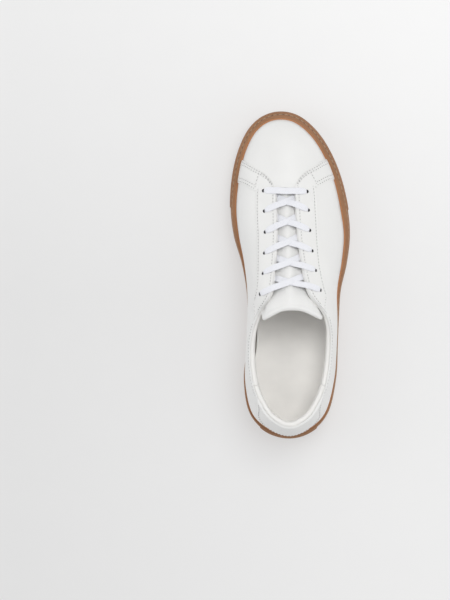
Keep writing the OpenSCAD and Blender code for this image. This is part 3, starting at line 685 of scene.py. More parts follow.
def resampled(values, run, stops):
    return cols(*(np.interp(stops, run, column) for column in values.T))


def even(path, step, values=None):
    """The points of a path, or other values along it, at equal steps."""
    run = run_along(path)
    stops = np.linspace(0, run[-1], max(2, int(round(run[-1] / step)) + 1))
    return resampled(path if values is None else values, run, stops)


def row_nodes(row, level):
    """(t, v) at each needle hole of a row."""
    return even(at(*row.T, level), STITCH_PITCH, row)


def stitches(name, starts, ends, normals, length, diameter, sink, slot, node):
    """One piece of many stitches: thin ends dip into the leather, and the middle stands proud."""
    sides = 8
    stops = np.array([-1, -0.96, -0.84, -0.6, -0.3, 0, 0.3, 0.6, 0.84, 0.96, 1])
    swell = np.array([0.5, 0.86, 1, 1, 1, 1, 1, 1, 1, 0.86, 0.5])
    # How far each ring is down in its needle hole, which sets how much painted shade darkens the thread there
    needle_hole_shade = np.array([1, 1, 0.75, 0.1, 0, 0, 0, 0.1, 0.75, 1, 1])
    middle, run = (starts + ends) / 2, unit(ends - starts)
    across = unit(np.cross(run, normals))
    up = np.cross(across, run)
    lift = diameter * 0.32 - sink * np.abs(stops) ** 3
    centre = middle[:, None] + times(run[:, None], stops * length / 2) + times(up[:, None], lift)
    turn = np.arange(sides) * math.tau / sides
    ring = times(across[:, None, None], np.cos(turn)) + times(up[:, None, None], np.sin(turn))
    rings = centre[:, :, None] + ring * (diameter / 2 * swell)[:, None, None]
    count, size = len(starts), sides * len(stops)
    one = tube_faces(len(stops), sides)
    faces = [[i + k * size for i in face] for k in range(count) for face in one]
    made = piece(name, rings.reshape(-1, 3), faces, SHOE, slot, node)
    strip_uv(made, np.tile(np.repeat(np.linspace(0, 1, len(stops)) * length, sides), count),
             np.tile(np.arange(sides) / sides, count * len(stops)))
    mark(made.data, "needle_hole_shade", np.tile(np.repeat(needle_hole_shade, sides), count))


def strip_uv(thing, lengths, across):
    """UV map for thread and braid: across from 0 to 1, and along in metres."""
    layer = thing.data.uv_layers.new(name="strip")
    corners = np.zeros(len(thing.data.loops), np.int32)
    thing.data.loops.foreach_get("vertex_index", corners)
    uv = cols(across[corners], lengths[corners] * MM)
    layer.data.foreach_set("uv", uv.astype(np.float32).ravel())


def upper_stitches():
    found_rows = []
    for rows, level in ((OVERLAY_ROWS, OVERLAY_OUT), (LEATHER_ROWS, LEATHER_T)):
        for row in rows:
            nodes = row_nodes(row, level)
            points = at(*nodes.T, level - 0.12)
            found_rows.append((points[:-1], points[1:], skin_normal(*((nodes[1:] + nodes[:-1]) / 2).T)))
    stitches("upper_stitches", *(np.concatenate(part) for part in zip(*found_rows)),
             STITCH_L, STITCH_D, 0.28, "upper_thread", "upper_stitching")


def softened(values, width):
    """Averages a list of vectors over a window, ends kept."""
    weights = bell(np.arange(-3 * width, 3 * width + 1), width)
    padded = np.pad(values, ((3 * width, 3 * width), (0, 0)), "edge")
    return cols(*(np.convolve(column, weights / weights.sum(), "valid") for column in padded.T))


def nearest(points, targets):
    """Distance from each point to the nearest target."""
    flat = points.reshape(-1, 3)
    parts = (flat[start:start + 4000] for start in range(0, len(flat), 4000))
    best = [np.sqrt(((part[:, None] - targets) ** 2).sum(-1).min(1)) for part in parts]
    return np.concatenate(best).reshape(points.shape[:-1])


def pucker(t, v, rows, level):
    """How far a stitched surface is drawn in: a shallow trough along each row."""
    dense = np.concatenate([even(at(*row.T, level), 0.7) for row in rows])
    return 0.3 * bell(nearest(at(t, v, level), dense), 0.7)


# ---- The upper
def rolled_edge(turn, radius):
    """Steps out and up round the top edge: turn from 0, on the outside, to 1, at the crest's inner side."""
    a = turn * math.radians(86)
    return radius * np.cos(a), radius * np.sin(a)


def edge_up(t):
    """Direction up the wall at the top edge."""
    return unit(skin(t, 1.0) - skin(t, 0.98))


def leather_sheet(name, t, v, rows, node, holes=(), rolled=False):
    """Outer leather, pulled in along its stitches; a rolled one turns over the top edge (v above 1)."""
    keep = None
    if holes:
        t, v, keep = cut_holes(t, v, holes, EYELET_R)
    body_v, turn = (np.minimum(v, 1), np.maximum(v - 1, 0) / ROLL_V) if rolled else (v, 0 * v)
    edge = np.where(half_turn(t) > 5.3, 0.5, 1.0)
    out, rise = rolled_edge(turn, LEATHER_T)
    normal, up = skin_normal(t, body_v), edge_up(t)
    level = np.where(turn > 0, out, LEATHER_T) - pucker(t, body_v, rows, LEATHER_T)
    outer = skin(t, body_v) + times(normal, level) + times(up, np.where(turn > 0, rise, 0) * edge)
    inner = skin(t, body_v) + times(up, turn * 0.2)
    made = sheet(name, outer, inner, SHOE, "upper_leather", node, keep)
    mark_holes(made, holes, LEATHER_T + 0.4)
    return made


HOLE_LOW = -9


def mark_holes(thing, holes, top):
    """Marks the cut edge of the eyelets below a level, and a thin ring round it, where painted shade makes
    the holes look dark inside.
    """
    spots = spots_of(thing.data)
    inside = np.zeros(len(spots), bool)
    for hole_t, hole_v in holes:
        offset, normal = spots - skin(hole_t, hole_v), skin_normal(hole_t, hole_v)
        height = offset @ normal
        reach = np.linalg.norm(offset - height[:, None] * normal, axis=-1)
        inside |= (height < top) & (height > HOLE_LOW) & (reach < EYELET_R + 0.4)
    mark(thing.data, "cut", inside)


# v of the rows that go over the top edge
ROLL_V = 0.02
ROLL = [1 + ROLL_V * k / 5 for k in range(1, 6)]


def quarter(name, ts, holes, cad_node):
    t, v = grid(ts, np.r_[SHEET_LOW, 0, 0.05, line(0.1, 0.74, 34), line(0.755, 1, 34), ROLL])
    leather_sheet(name, t, v, OVERLAY_ROWS + LEATHER_ROWS, cad_node, holes, rolled=True)


def overlay_level(t, v, drop):
    """Level of a leather overlay: drawn in along its stitches, and thinner towards its cut edge by drop."""
    return OVERLAY_OUT - pucker(t, v, OVERLAY_ROWS, OVERLAY_OUT) - drop


def edge_drop(t, v, edge_points, width=1.6, depth=0.28):
    """How much an overlay thins within a given width of its cut edge."""
    reach = nearest(at(t, v, OVERLAY_IN), edge_points)
    return depth * (1 - smooth(reach, 0, width))


def facing(name, side, cad_node):
    """Facing with its foot: a grid whose columns lean at the collar's end, with the foot's cells below."""
    a, b, end = SEAM_A[side], SEAM_B[side], FACING_END[side]
    columns = np.r_[line(0, 0.6, 8)[:-1], line(0.6, abs(b - end), 190)]
    station = end + side * np.r_[columns, line(abs(b - end), abs(a - end), 34)[1:]]
    in_foot = np.arange(len(station)) >= len(columns) - 1
    band = np.linspace(0, 1, 34)
    low = np.where(in_foot, 0.745, table(station, FACING_LOW[side]))
    # The facing ends in a slanted edge
    lean = np.clip(1 - np.abs(station - end) / 1.2, 0, 1) * 0.62
    v_band = low[:, None] + (1 - low)[:, None] * band
    t_band = station[:, None] + side * lean[:, None] * (1 - band)
    foot_v = (LIP_V - 0.05) + (low[:, None] - (LIP_V - 0.05)) * np.linspace(0, 1, 40)[:-1]
    v = np.concatenate([foot_v, v_band], 1)
    t = bent(np.concatenate([np.repeat(t_band[:, :1], foot_v.shape[1], 1), t_band], 1), v, side)
    t, v, keep = cut_holes(t, v, EYELETS[side], EYELET_R)
    foot_cells = np.zeros_like(keep)
    foot_cells[:, foot_v.shape[1]:] = True
    foot_cells[in_foot[:-1], :] = True
    keep &= foot_cells
    front, rear = line(LIP_V, 1, 160), line(LIP_V, 0.745, 120)
    rim = np.concatenate([
        at(bent(a, front, side), front, OVERLAY_IN), at(bent(b, rear, side), rear, OVERLAY_IN),
        at(t_band[:, 0], v_band[:, 0], OVERLAY_IN)[~in_foot], at(t_band[0], v_band[0], OVERLAY_IN),
    ])
    outer = at(t, v, overlay_level(t, v, edge_drop(t, v, rim)))
    made = sheet(name, outer, at(t, v, OVERLAY_IN), SHOE, "upper_leather", cad_node, keep)
    mark_holes(made, EYELETS[side], OVERLAY_OUT - 0.5)
    bevel(made, 0.32)


def heel_tab():
    s, v = grid(line(-1, 1, 120), np.r_[line(0.45, 1, 70), ROLL])
    t = s * table(v, TAB_HALF)
    v, turn = np.minimum(v, 1), np.maximum(v - 1, 0) / ROLL_V
    # The lower corners are round
    v = v + (1 - smooth(v, 0.45, 0.62)) * 0.075 * np.clip((np.abs(s) - 0.72) / 0.28, 0, 1) ** 2
    edge_v = line(0.46, 1, 120)
    rim = np.concatenate([at(side * table(edge_v, TAB_HALF), edge_v, OVERLAY_IN) for side in (-1, 1)]
                         + [at(t[:, 0], v[:, 0], OVERLAY_IN)])
    out, rise = rolled_edge(turn, 1.0)

    def folded(level, height):
        """One face of the tab; above the top edge it turns in over the quarters' edge."""
        return skin(t, v) + times(skin_normal(t, v), level * out) + times(edge_up(t), rise * height)

    outer = folded(overlay_level(t, v, edge_drop(t, v, rim)), 2.0)
    bevel(sheet("heel_tab_leather", outer, folded(OVERLAY_IN, 1.15), SHOE, "upper_leather", "heel_tab"), 0.32)


SWELL_ROUND = [[0, 1], [3.5, 1], [4.2, 0.88], [4.7, 0.66], [5.0, 0.35], [5.3, 0.08], [5.6, 0]]


def collar_swell(t, v):
    """How far the padded collar stands in towards the ankle."""
    return 3.6 * table(half_turn(t), SWELL_ROUND) * smooth(v, 0.6, 0.84) * (1 - 0.5 * smooth(v, 0.9, 1.0))


def lining(name, ts, cad_node, holes=()):
    """Lining: down the inside of the wall, padded round the collar, and turned over its edge (v above 1)."""
    dome = 1 + 0.1 * np.linspace(0, 1, 12)[1:]
    t, v = grid(ts, np.r_[SHEET_LOW, line(0, 0.58, 16), line(0.6, 0.99, 44), 1, dome])
    keep = None
    if holes:
        t, v, keep = cut_holes(t, v, holes, EYELET_R + 0.1)
    body_v, turn = np.minimum(v, 1), np.clip((v - 1) / 0.1, 0, 1)
    visible = LINING_IN - collar_swell(t, body_v)
    top_in, top_out = LINING_IN - collar_swell(t, 1.0), -0.04
    half, middle = (top_out - top_in) / 2, (top_out + top_in) / 2
    height = np.where(half_turn(t) > 5.3, 0.8, 1.0) * np.minimum(1.3, half * 0.9)
    a = turn * math.pi * 0.99
    base, normal, up = skin(t, body_v), skin_normal(t, body_v), edge_up(t)

    def side(thickness):
        reach_in = half - np.minimum(thickness, half * 0.7)
        reach_up = height - np.minimum(thickness, height * 0.6)
        domed = times(normal, middle - reach_in * np.cos(a)) + times(up, reach_up * np.sin(a))
        return base + np.where((v > 1)[..., None], domed, times(normal, visible + thickness))

    made = sheet(name, side(LINING_T), side(0.0), SHOE, "lining_leather", cad_node, keep)
    mark_holes(made, holes, 0)


SEAM, LINING_SEAM = 0.006, 0.0015
# The inner side's stations count on from the toe to the back of the heel
outer_side = np.r_[SEAM, line(0.04, 5.1, 110), line(5.12, SEAM_M[OUTER] - SEAM, 190)]
inner_side = np.r_[line(SEAM_M[INNER] + SEAM, 22.9, 184), line(22.93, 27.96, 110), STATIONS - SEAM]

quarter("quarter_outer_leather", outer_side, EYELETS[OUTER], "quarter_lateral")
quarter("quarter_inner_leather", inner_side, EYELETS[INNER], "quarter_medial")
facing("facing_outer", OUTER, "eyestay_lateral")
facing("facing_inner", INNER, "eyestay_medial")
heel_tab()


def vamp_reach(t):
    """The vamp's end reaches a little further back in the middle, under the first bar of the lace."""
    return 1 + 0.02 * smooth(t, 10.9, 11.6) * smooth(-t, -17.2, -16.5)


def vamp_leather():
    vs = np.r_[SHEET_LOW, 0, 0.05, line(0.1, 1, 84)]
    t, v = grid(line(SEAM_M[OUTER] + SEAM, SEAM_M[INNER] - SEAM, 190), vs)
    bevel(leather_sheet("vamp_leather", t, v * vamp_reach(t), OVERLAY_ROWS, "vamp"), 0.4)


def vamp_lining():
    t, v = grid(line(SEAM_M[OUTER] + SEAM, SEAM_M[INNER] - SEAM, 110), line(SHEET_LOW[0], 1, 50))
    v = v * np.where(v > 0, vamp_reach(t), 1)
    sheet("vamp_lining_leather", at(t, v, LINING_OUT), at(t, v, LINING_IN), SHOE, "lining_leather",
          "vamp_lining")


vamp_leather()
vamp_lining()
lining("lining_outer_side", line(SEAM_LINING[OUTER] + LINING_SEAM, SEAM_M[OUTER] - SEAM, 250),
       "quarter_lining_lateral", EYELETS[OUTER])
lining("lining_inner_side", line(SEAM_M[INNER] + SEAM, SEAM_LINING[INNER] - LINING_SEAM, 250),
       "quarter_lining_medial", EYELETS[INNER])
heel_side = line(SEAM_LINING[INNER] - STATIONS + LINING_SEAM, SEAM_LINING[OUTER] - LINING_SEAM, 130)
lining("lining_heel", heel_side, "heel_lining")
upper_stitches()


# ---- The cup sole
FLARE = [[0, 1], [7, 1.4], [11, 2.6], [14, 2.8], [17, 2.6], [20, 1.2], [22, 0.5], [25, 0.5], [28, 1]]
BUMPER_TOE, BUMPER_HEEL, BUMPER_T = 9, 1.25, 0.5
BUMPER_STEP = 0.012
GROOVE_DEPTH = 0.95
FLOOR_T, TREAD_DEPTH, TREAD_COUNT = 4, 1.5, 16
RIB_PITCH, RIB_DEPTH = 1.25, 0.16
SMOOTH_FLARE = [table(k, FLARE) for k in range(STATIONS)]


def sole_columns(half_count=205):
    """Stations round the sole, the same on both sides, finer at the bumpers' steps."""
    near = np.array([-0.03, -BUMPER_STEP, BUMPER_STEP, 0.03])
    half = np.unique(np.r_[line(0, 14, half_count), BUMPER_HEEL + near, BUMPER_TOE + near])
    return np.r_[half, STATIONS - half[-2:0:-1]]


def bumper(t):
    """1 on the heel's and the toe's bumper and 0 between them."""
    h = half_turn(t)
    ends = [smooth(h, end - BUMPER_STEP, end + BUMPER_STEP) for end in (BUMPER_HEEL, BUMPER_TOE)]
    return 1 - ends[0] + ends[1]


def lip_z(t):
    return skin(t, LIP_V)[..., 2]


def side_ring(t, inset, z):
    """A loop of the sole at a distance in from its outline."""
    return cols(*sole_point(t, inset).T, z)


def seat_ring(t, inset, rise):
    ring = side_ring(t, inset, 0.0)
    ring[..., 2] = seat_z(ring[..., 1]) + rise
    return ring


def rounded(rings, radius, steps=3):
    """Rounds the corners of a stack of loops: each becomes a few that follow an arc of about the radius."""
    made = [rings[0]]
    for before, corner, after in zip(rings, rings[1:], rings[2:]):
        legs = [np.linalg.norm(x - corner, axis=-1, keepdims=True) for x in (before, after)]
        first, last = (corner + (x - corner) * np.minimum(radius / np.maximum(leg, 1e-6), 0.45)
                       for x, leg in zip((before, after), legs))
        for u in np.linspace(0, 1, steps):
            made.append(first * (1 - u) ** 2 + corner * 2 * u * (1 - u) + last * u**2)
    return made + [rings[-1]]


def ladder_faces(offset, count, flip):
    """Faces that close a loop whose points lie in pairs, j on one side and count - j on the other."""
    half = count // 2
    faces = [[0, 1, count - 1]] + [[j, j + 1, count - j - 1, count - j] for j in range(1, half - 1)]
    faces.append([half - 1, half, half + 1])
    return [[offset + i for i in (face[::-1] if flip else face)] for face in faces]


def loft(name, rings, body, slot, node):
    """A closed body through a stack of loops."""
    count = len(rings[0])
    faces = tube_faces(len(rings), count)[:-2]
    faces += ladder_faces(0, count, False) + ladder_faces((len(rings) - 1) * count, count, True)
    return piece(name, np.concatenate(rings), faces, body, slot, node)


def tread_cutter():
    """Zigzag grooves across the underside, as one mesh of separate prisms."""
    teeth, amplitude, width, margin, length = 8, 3, 2.4, 8, 262
    t = np.arange(0.2, 13.81, 0.2)
    near, far = sole_point(t, margin), sole_point(STATIONS - t, margin)
    middles = (near[:, 1] + far[:, 1]) / 2
    points, faces = [], []
    for k in range(TREAD_COUNT):
        y = length * ((k + 0.5) / TREAD_COUNT - 0.5)
        i = int((middles < y).sum())
        path = near[i] + (far[i] - near[i]) * np.arange(teeth + 1)[:, None] / teeth
        path[:, 1] += amplitude * (np.arange(teeth + 1) % 2)
        loop = np.concatenate([path, path[::-1] + [0, width]])
        start, size = len(points), len(loop)
        points += [[*p, z] for z in (-1.0, TREAD_DEPTH + float(spring(y))) for p in loop]
        following = [*range(1, size), 0]
        faces += [[start + a, start + b, start + size + b, start + size + a] for a, b in enumerate(following)]
        for base in (start, start + size):
            last = base + size - 1
            faces += [[base + j, base + j + 1, last - j - 1, last - j] for j in range(teeth)]
    return placed("tread_cutter", solid_mesh("tread_cutter", points, faces))


def carve(thing, cutter):
    """Takes one body out of another for good."""
    cut = thing.modifiers.new("tread", "BOOLEAN")
    cut.operation = "DIFFERENCE"
    cut.solver = "EXACT"
    cut.object = cutter
    graph = bpy.context.evaluated_depsgraph_get()
    thing.data = bpy.data.meshes.new_from_object(thing.evaluated_get(graph))
    thing.modifiers.clear()
    bpy.data.objects.remove(cutter)


def outsole():
    t = sole_columns()
    flare = spline(SMOOTH_FLARE, t)
    seat_w = spline(SEAT_INSET, t)
    base_z, top_z = spring(spline(SOLE_OUTLINE, t)[:, 1]), lip_z(t)
    stand = (bumper(t) - 0.5) * BUMPER_T
    toe = smooth(half_turn(t), 8, 11)
    low = [
        side_ring(t, 4.5, base_z),
        side_ring(t, 1.4, base_z + 1.6),
        side_ring(t, 0.2 - stand, base_z + 4.5),
    ]
    # Side wall with fine level ribs on the bumpers
    wall_from, wall_to = base_z + 4.5, top_z - 7.6
    wall = []
    for f in np.linspace(0, 1, 60)[1:-1]:
        z = wall_from + (wall_to - wall_from) * f
        bulge = table(f, [[0, 0.2], [0.3, 0], [1, 0]]) + flare * 0.45 * f**2
        ribbed = RIB_DEPTH * np.cos((top_z - z) / RIB_PITCH * math.tau) * bumper(t)
        ribbed = ribbed * float(smooth(f, 0.06, 0.16) * (1 - smooth(f, 0.86, 0.95)))
        wall.append(side_ring(t, bulge - stand - ribbed, z))
    high = [
        side_ring(t, flare * 0.45 - stand, wall_to),
        side_ring(t, flare * 0.6 + BUMPER_T / 2, top_z - 7),
        side_ring(t, flare * 0.75 + BUMPER_T / 2, top_z - 5),
        side_ring(t, flare * 0.75 + GROOVE_DEPTH - 0.4 * toe, top_z - 4.6),
        side_ring(t, flare * 0.8 + GROOVE_DEPTH - 0.2 * toe, top_z - 3.6),
        side_ring(t, flare * 0.8 + BUMPER_T / 2 + 0.6 * toe, top_z - 3.2),
        side_ring(t, flare + 0.4 * toe, top_z - 0.8),
        side_ring(t, flare + 0.6 + 0.4 * toe, top_z),
        *[side_ring(t, flare + 0.6 + 0.4 * toe, top_z) * (1 - f) + at(t, LIP_V, LEATHER_T + 0.1) * f
          for f in (0.25, 0.5, 0.62, 0.74, 0.86, 1)],
        at(t, LIP_V / 2, LEATHER_T + 0.2),
        seat_ring(t, seat_w - LEATHER_T - 0.3, -LEATHER_T - 0.15),
        seat_ring(t, seat_w + 0.5, -LEATHER_T - 0.15),
    ]
    inner_floor = side_ring(t, seat_w + 1, 0.0)
    inner_floor[:, 2] = spring(inner_floor[:, 1] * 1.07) + FLOOR_T
    lower = rounded(low + wall[:1], 0.7, 4)[:-1]
    upper = rounded(wall[-1:] + high, 0.28, 4)[1:]
    made = loft("cup_sole", lower + wall + upper + [inner_floor], SHOE, "gum_rubber", "outsole")
    carve(made, tread_cutter())
    # The lip's inner edge, where painted bounce light from the white upper lightens the rubber against the
    # leather, and the sewn groove, where painted shade darkens it
    spots = spots_of(made.data)
    mark(made.data, "lip", 1 - smooth(nearest(spots, at(t, LIP_V, LEATHER_T + 0.1)), 0.9, 1.5))
    groove = side_ring(t, flare * 0.78 + GROOVE_DEPTH - 0.3 * toe, top_z - 4.1)
    mark(made.data, "groove", 1 - smooth(nearest(spots, groove), 0.6, 0.95))


def sole_stitches():
    t = np.linspace(0, STATIONS, 900)
    path = side_ring(t, spline(SMOOTH_FLARE, t) * 0.78 + GROOVE_DEPTH - 0.2, lip_z(t) - 4.1)
    stops = even(path, 5.2)
    # The path runs anticlockwise seen from above, so that its right side is the outer one
    outwards = np.cross(stops[1:] - stops[:-1], [0, 0, 1.0])
    stitches("sole_stitches", stops[:-1], stops[1:], unit(outwards), 4.3, 0.9, 0.5, "sole_thread",
             "sole_stitching")


outsole()
sole_stitches()


# ---- Footbed cover: a leather sheet over the foam, cupped at its rim
BOARD_T, FOOT_GAP, GLUE = 1.5, 0.3, 0.15
BOARD_LOW = 2.45
FOOTBED_LOW = BOARD_LOW + BOARD_T + FOOT_GAP


def footbed_t(y):
    return table(y, [[-100, 5], [100, 3]])


LIFT = math.tan(math.radians(4))
LIFT_HINGE_Y = 136


def footbed_rim(t, clearance=0.6):
    """How far in from the sole's outline the lining lets the footbed reach, wherever it is lifted to."""
    v = np.linspace(0, 0.75, 76)
    wall = at(t[:, None], v, LINING_IN - collar_swell(t[:, None], v))
    edge = sole_point(t, 0)
    inset = ((edge[:, None] - wall[..., :2]) * unit(spline(OUT_DIR, t))[:, None]).sum(-1)
    low = seat_z(edge[:, 1]) + FOOTBED_LOW
    high = low + footbed_t(edge[:, 1]) + 3.5 + np.maximum(LIFT_HINGE_Y - edge[:, 1], 0) * LIFT
    passed = (wall[..., 2] > low[:, None]) & (wall[..., 2] < high[:, None])
    return softened(np.where(passed, inset, 0).max(1)[:, None], 3)[:, 0] + clearance


def footbed_leather():
    t = np.clip(7 - 7 * np.cos(np.linspace(0, math.pi, 150)), 0.03, 13.97)
    s = np.sin(np.linspace(-math.pi / 2, math.pi / 2, 72))
    near = sole_point(t, footbed_rim(t))
    far = sole_point(STATIONS - t, footbed_rim(STATIONS - t))
    share = ((1 - s) / 2)[None, :, None]
    spots = near[:, None] * (1 - share) + far[:, None] * share
    x, y = spots[..., 0], spots[..., 1]
    # 0 in the middle and 1 at the rim, where the leather turns up
    half_width = np.linalg.norm(near - far, axis=-1)[:, None] / 2
    to_side, to_end = (1 - np.abs(s)) * half_width, np.minimum(150 + y, 142 - y)
    edge = 1 - np.minimum(1, np.minimum(to_side / 13, to_end / 24))
    arch = bell(y + 25, 45) * smooth(-x, 8, 34) * 2.2
    cup = edge**2 * np.where(y < 0, 2.6, 1.4) + arch
    dish = -0.5 * bell(x + 1, 24) * bell(y + 112, 26) - 0.4 * bell(x + 6, 30) * bell(y - 55, 26)
    wrinkle = 0.12 * np.sin(y * 0.5 + 2 * np.sin(x * 0.2)) * bell(y - 30, 24)
    low = seat_z(y) + FOOTBED_LOW + footbed_t(y) + GLUE
    top = low + 1.0 + cup + dish * (1 - edge) + wrinkle - 0.5 * np.exp(-60 * np.clip(1 - edge, 0, 1))
    low = np.minimum(low + np.maximum(cup - 0.4, 0) * 0.9, top - 0.6)
    bevel(sheet("footbed_leather_cover", cols(x, y, top), cols(x, y, low), FOOTBED, "footbed_leather",
                "footbed_cover"), 0.3)


footbed_leather()


# ---- Tongue: a padded pillow that follows the instep. q runs from the stitched end (0) to the free end (1).
TONGUE_FRONT, TONGUE_L = 90, 119
TONGUE_MID = [[-36, 2.5], [30, -2.4], [90, -5]]
TONGUE_HALF = [[-36, 37.2], [-27, 33.2], [-16, 28.5], [30, 27], [60, 22], [90, 11]]
TONGUE_DROOP = [[-36, 8], [-27, 8.5], [-16, 6.5], [0, 3], [30, 2.4]]
SHELL_T, TONGUE_LINING_T, TONGUE_FOAM_T = 1.0, 0.8, 5.0


def over(x, y, o):
    """Point at a distance o above the instep."""
    return cols(x, y, instep(x, y)) + times(instep_normal(x, y), o)


TONGUE_RIM, TONGUE_STITCH, END_SPREAD = 1.1, 3.6, 1.6
TONGUE_END = [[0, -1.6], [0.3, -1.5], [0.5, 0.6], [0.7, 2.6], [0.85, 2.8], [1, 1.6]]
FOAM_ALONG = [[0, 0.1], [0.25, 0.6], [0.5, 1], [0.93, 1], [1, 0.3]]
THROAT_MIDDLE = [[-20, -0.2], [6, -1.6], [30, -2.6], [54, -3.6], [82, -4.9]]


def tongue_at(q, s, o):
    y = TONGUE_FRONT - q * (TONGUE_L + 3.5 * s**2 * q**2)
    sink = table(y, TONGUE_DROOP) * np.minimum(np.abs(s), 1) ** 4
    return over(table(y, TONGUE_MID) + s * table(y, TONGUE_HALF), y, o - sink)


def foam_t(q, s):
    return 0.8 + (TONGUE_FOAM_T - 0.8) * (1 - s**4) * table(q, FOAM_ALONG)


def throat_middle(y):
    return table(y, THROAT_MIDDLE)


def tongue_grid(rows=150, columns=96):
    """(q, s) of the visible tongue, a little larger than its foam so that leather and lining meet round it,
    and each point's distance in from the rim."""
    q = 1 - (1 - np.linspace(0, 1, rows)) ** 1.25
    s = np.sin(np.linspace(-math.pi / 2, math.pi / 2, columns))
    q, s = grid(q, s)
    half = table(TONGUE_FRONT - q * TONGUE_L, TONGUE_HALF)
    # The free end is cut in an S on both sides of its flat middle, and its corners are round
    reach = TONGUE_RIM + smooth(q, 0.86, 1.0) * soft_table(s, TONGUE_END)
    spread = TONGUE_RIM + END_SPREAD * smooth(q, 0.8, 0.95)
    away = np.minimum((1 - np.abs(s)) * (half + spread), (1 - q) * (TONGUE_L + reach))
    corner = smooth(q, 0.93, 1.0) * np.clip((np.abs(s) - 0.84) / 0.16, 0, 1) ** 2
    return (q * (1 + reach / TONGUE_L) - 0.038 * corner,
            s * (1 + spread / half) - 0.06 * smooth(q, 0.96, 1.0) * s, away)


def tongue_sides(q, s, away, pressed):
    """Upper and lower surface of the pillow, pressed down under the lace."""
    y = TONGUE_FRONT - q * TONGUE_L
    x = table(y, TONGUE_MID) + s * table(y, TONGUE_HALF)
    thick = foam_t(np.clip(q, 0, 1), np.clip(s, -1, 1))
    dome = 2.5 * bell(x - throat_middle(y), 7.2) * smooth(q, 0.02, 0.14) * (1 - 0.6 * smooth(q, 0.86, 1))
    end_roll = 0.9 * bell(TONGUE_L * (1 - q) - 9, 6) * (1 - s**4)
    top = -3.75 + dome + end_roll - pressed - 0.35 * bell(away - TONGUE_STITCH, 0.9)
    wave = 0.25 * np.sin(y * 0.34 + 0.9 * np.sin(x * 0.21)) * smooth(away, 1, 6) * smooth(q, 0.2, 0.5)
    top = top + wave * (0.5 + 0.5 * np.sin(x * 0.17 + 1.1))
    bottom = -6.8 - thick
    middle, half = (top + bottom) / 2, (top - bottom) / 2
    round_edge = np.sqrt(1 - (1 - np.clip(away / 2.6, 0, 1)) ** 2)
    return middle + half * round_edge, middle - half * round_edge, middle


# ---- Lace. Each entry of its route is a point, the direction of its width, its width and its thickness.
LACE_W, LACE_T = 6.1, 1.05
LACE_OVER = OVERLAY_OUT + 0.22 + LACE_T / 2
LACE_UNDER = LINING_IN - 0.1 - LACE_T / 2
CROSS_LIFT, BAR_SAG = 0.62, 0.9
# Distance from the hole, share of the full level and share of the full width
TURN_STEPS = [
    [0.6, 0.6, 0.45], [1.1, 0.86, 0.62], [2.2, 0.98, 0.86], [4, 1, 0.98], [5.5, 1, 1], [9.5, 1, 1],
]
HOLE_TO_EDGE, PAST_EDGE = 10.8, 12.8
# The tails run forward inside: steps in t and v from the hole, share of the level and share of the width
TAIL_V = 0.795
TAIL_TURN = [[0.02, -0.006, 0.84, 0.6], [0.06, -0.02, 0.97, 0.7], [0.16, -0.045, 1, 0.85]]
TAIL_STEPS = np.linspace(0.45, 3.05, 8)
TAIL_UNDER = LACE_UNDER - 0.35


def hole(side, row):
    return (*EYELETS[side][row], side)


def plump(share):
    """Thickness of the lace where it is gathered to a share of its width."""
    return LACE_T * (1.9 - 0.9 * share)


def laid(p, n, run, width, thick):
    """Entry of a stretch that lies flat on a surface with normal n."""
    w = np.cross(n, [run[0], run[1], 0])
    return p, w if w[1] > 0 else -w, width, thick


def found(spot, t, v):
    """The (t, v) of the skin at a spot seen from above, found step by step from a near one."""
    e = 0.02
    for _ in range(6):
        along_t = ((skin(t + e, v) - skin(t - e, v)) / (2 * e))[:2]
        along_v = ((skin(t, v + e) - skin(t, v - e)) / (2 * e))[:2]
        step = np.linalg.solve(cols(along_t, along_v), spot - skin(t, v)[:2])
        t, v = t + step[0], v + step[1]
    return t, v


def turned(e, run, o, rise=0.97):
    """Entries from hole e on, in the direction of run: the lace spreads out to its width at level o."""
    entries = []
    for distance, depth, share in TURN_STEPS:
        t, v = found(skin(e[0], e[1])[:2] + run * distance, e[0], e[1])
        entries.append(laid(at(t, v, o * depth), skin_normal(t, v), run, LACE_W * share, plump(share)))
    # Past the throat's edge a run that comes from under the facing rises at once to lie on top
    t, v = found(skin(e[0], e[1])[:2] + run * PAST_EDGE, e[0], e[1])
    return entries + [laid(at(t, v, o * rise), skin_normal(t, v), run, LACE_W, LACE_T)]


def flat_run(a, b, from_under, mid_o):
    """Entries from hole a to hole b, at a distance mid_o above the instep in the middle."""
    pa, pb = skin(a[0], a[1]), skin(b[0], b[1])
    run = unit((pb - pa)[:2])
    x, y = ((pa + pb) / 2)[:2]
    middle = laid(over(x, y, mid_o), instep_normal(x, y), run, LACE_W, LACE_T)
    first = turned(a, run, LACE_UNDER, 0.3 if mid_o > 0 else 0.5) if from_under else turned(a, run, LACE_OVER)
    return first + [middle] + turned(b, -run, LACE_OVER)[::-1]


def down_through(e):
    """Inside its hole the lace is gathered round, and lies against the side towards the throat."""
    v = e[1] + 0.25 * (1 - e[1]) / HOLE_TO_EDGE
    return [(at(e[0], v, o), np.array([0, 1, 0.4]), 2.5, 1.5) for o in (1.2, 0, -1.2)]


def strand(side):
    """One half of the lace, from the lowest eyelet up: it crosses the throat after each hole."""
    entries = []
    for row in range(5):
        start, end = hole(side, row), hole(-side, row + 1)
        entries += down_through(start) + flat_run(start, end, True, CROSS_LIFT * side)
        side = -side
    return entries


def tail_entry(t, v, side, o, share):
    width = side * np.cross([0, 1, 0], skin_normal(t, v))
    return at(t, v, o), width, LACE_W * share, plump(share)


def tail(e):
    """Entries of a tucked end, from the last hole e on."""
    entries = down_through(e)
    side = e[2]
    entries += [tail_entry(e[0] + side * a, e[1] + b, side, TAIL_UNDER * c, d) for a, b, c, d in TAIL_TURN]
    return entries + [tail_entry(e[0] + side * s, TAIL_V, side, TAIL_UNDER, 0.9) for s in TAIL_STEPS]


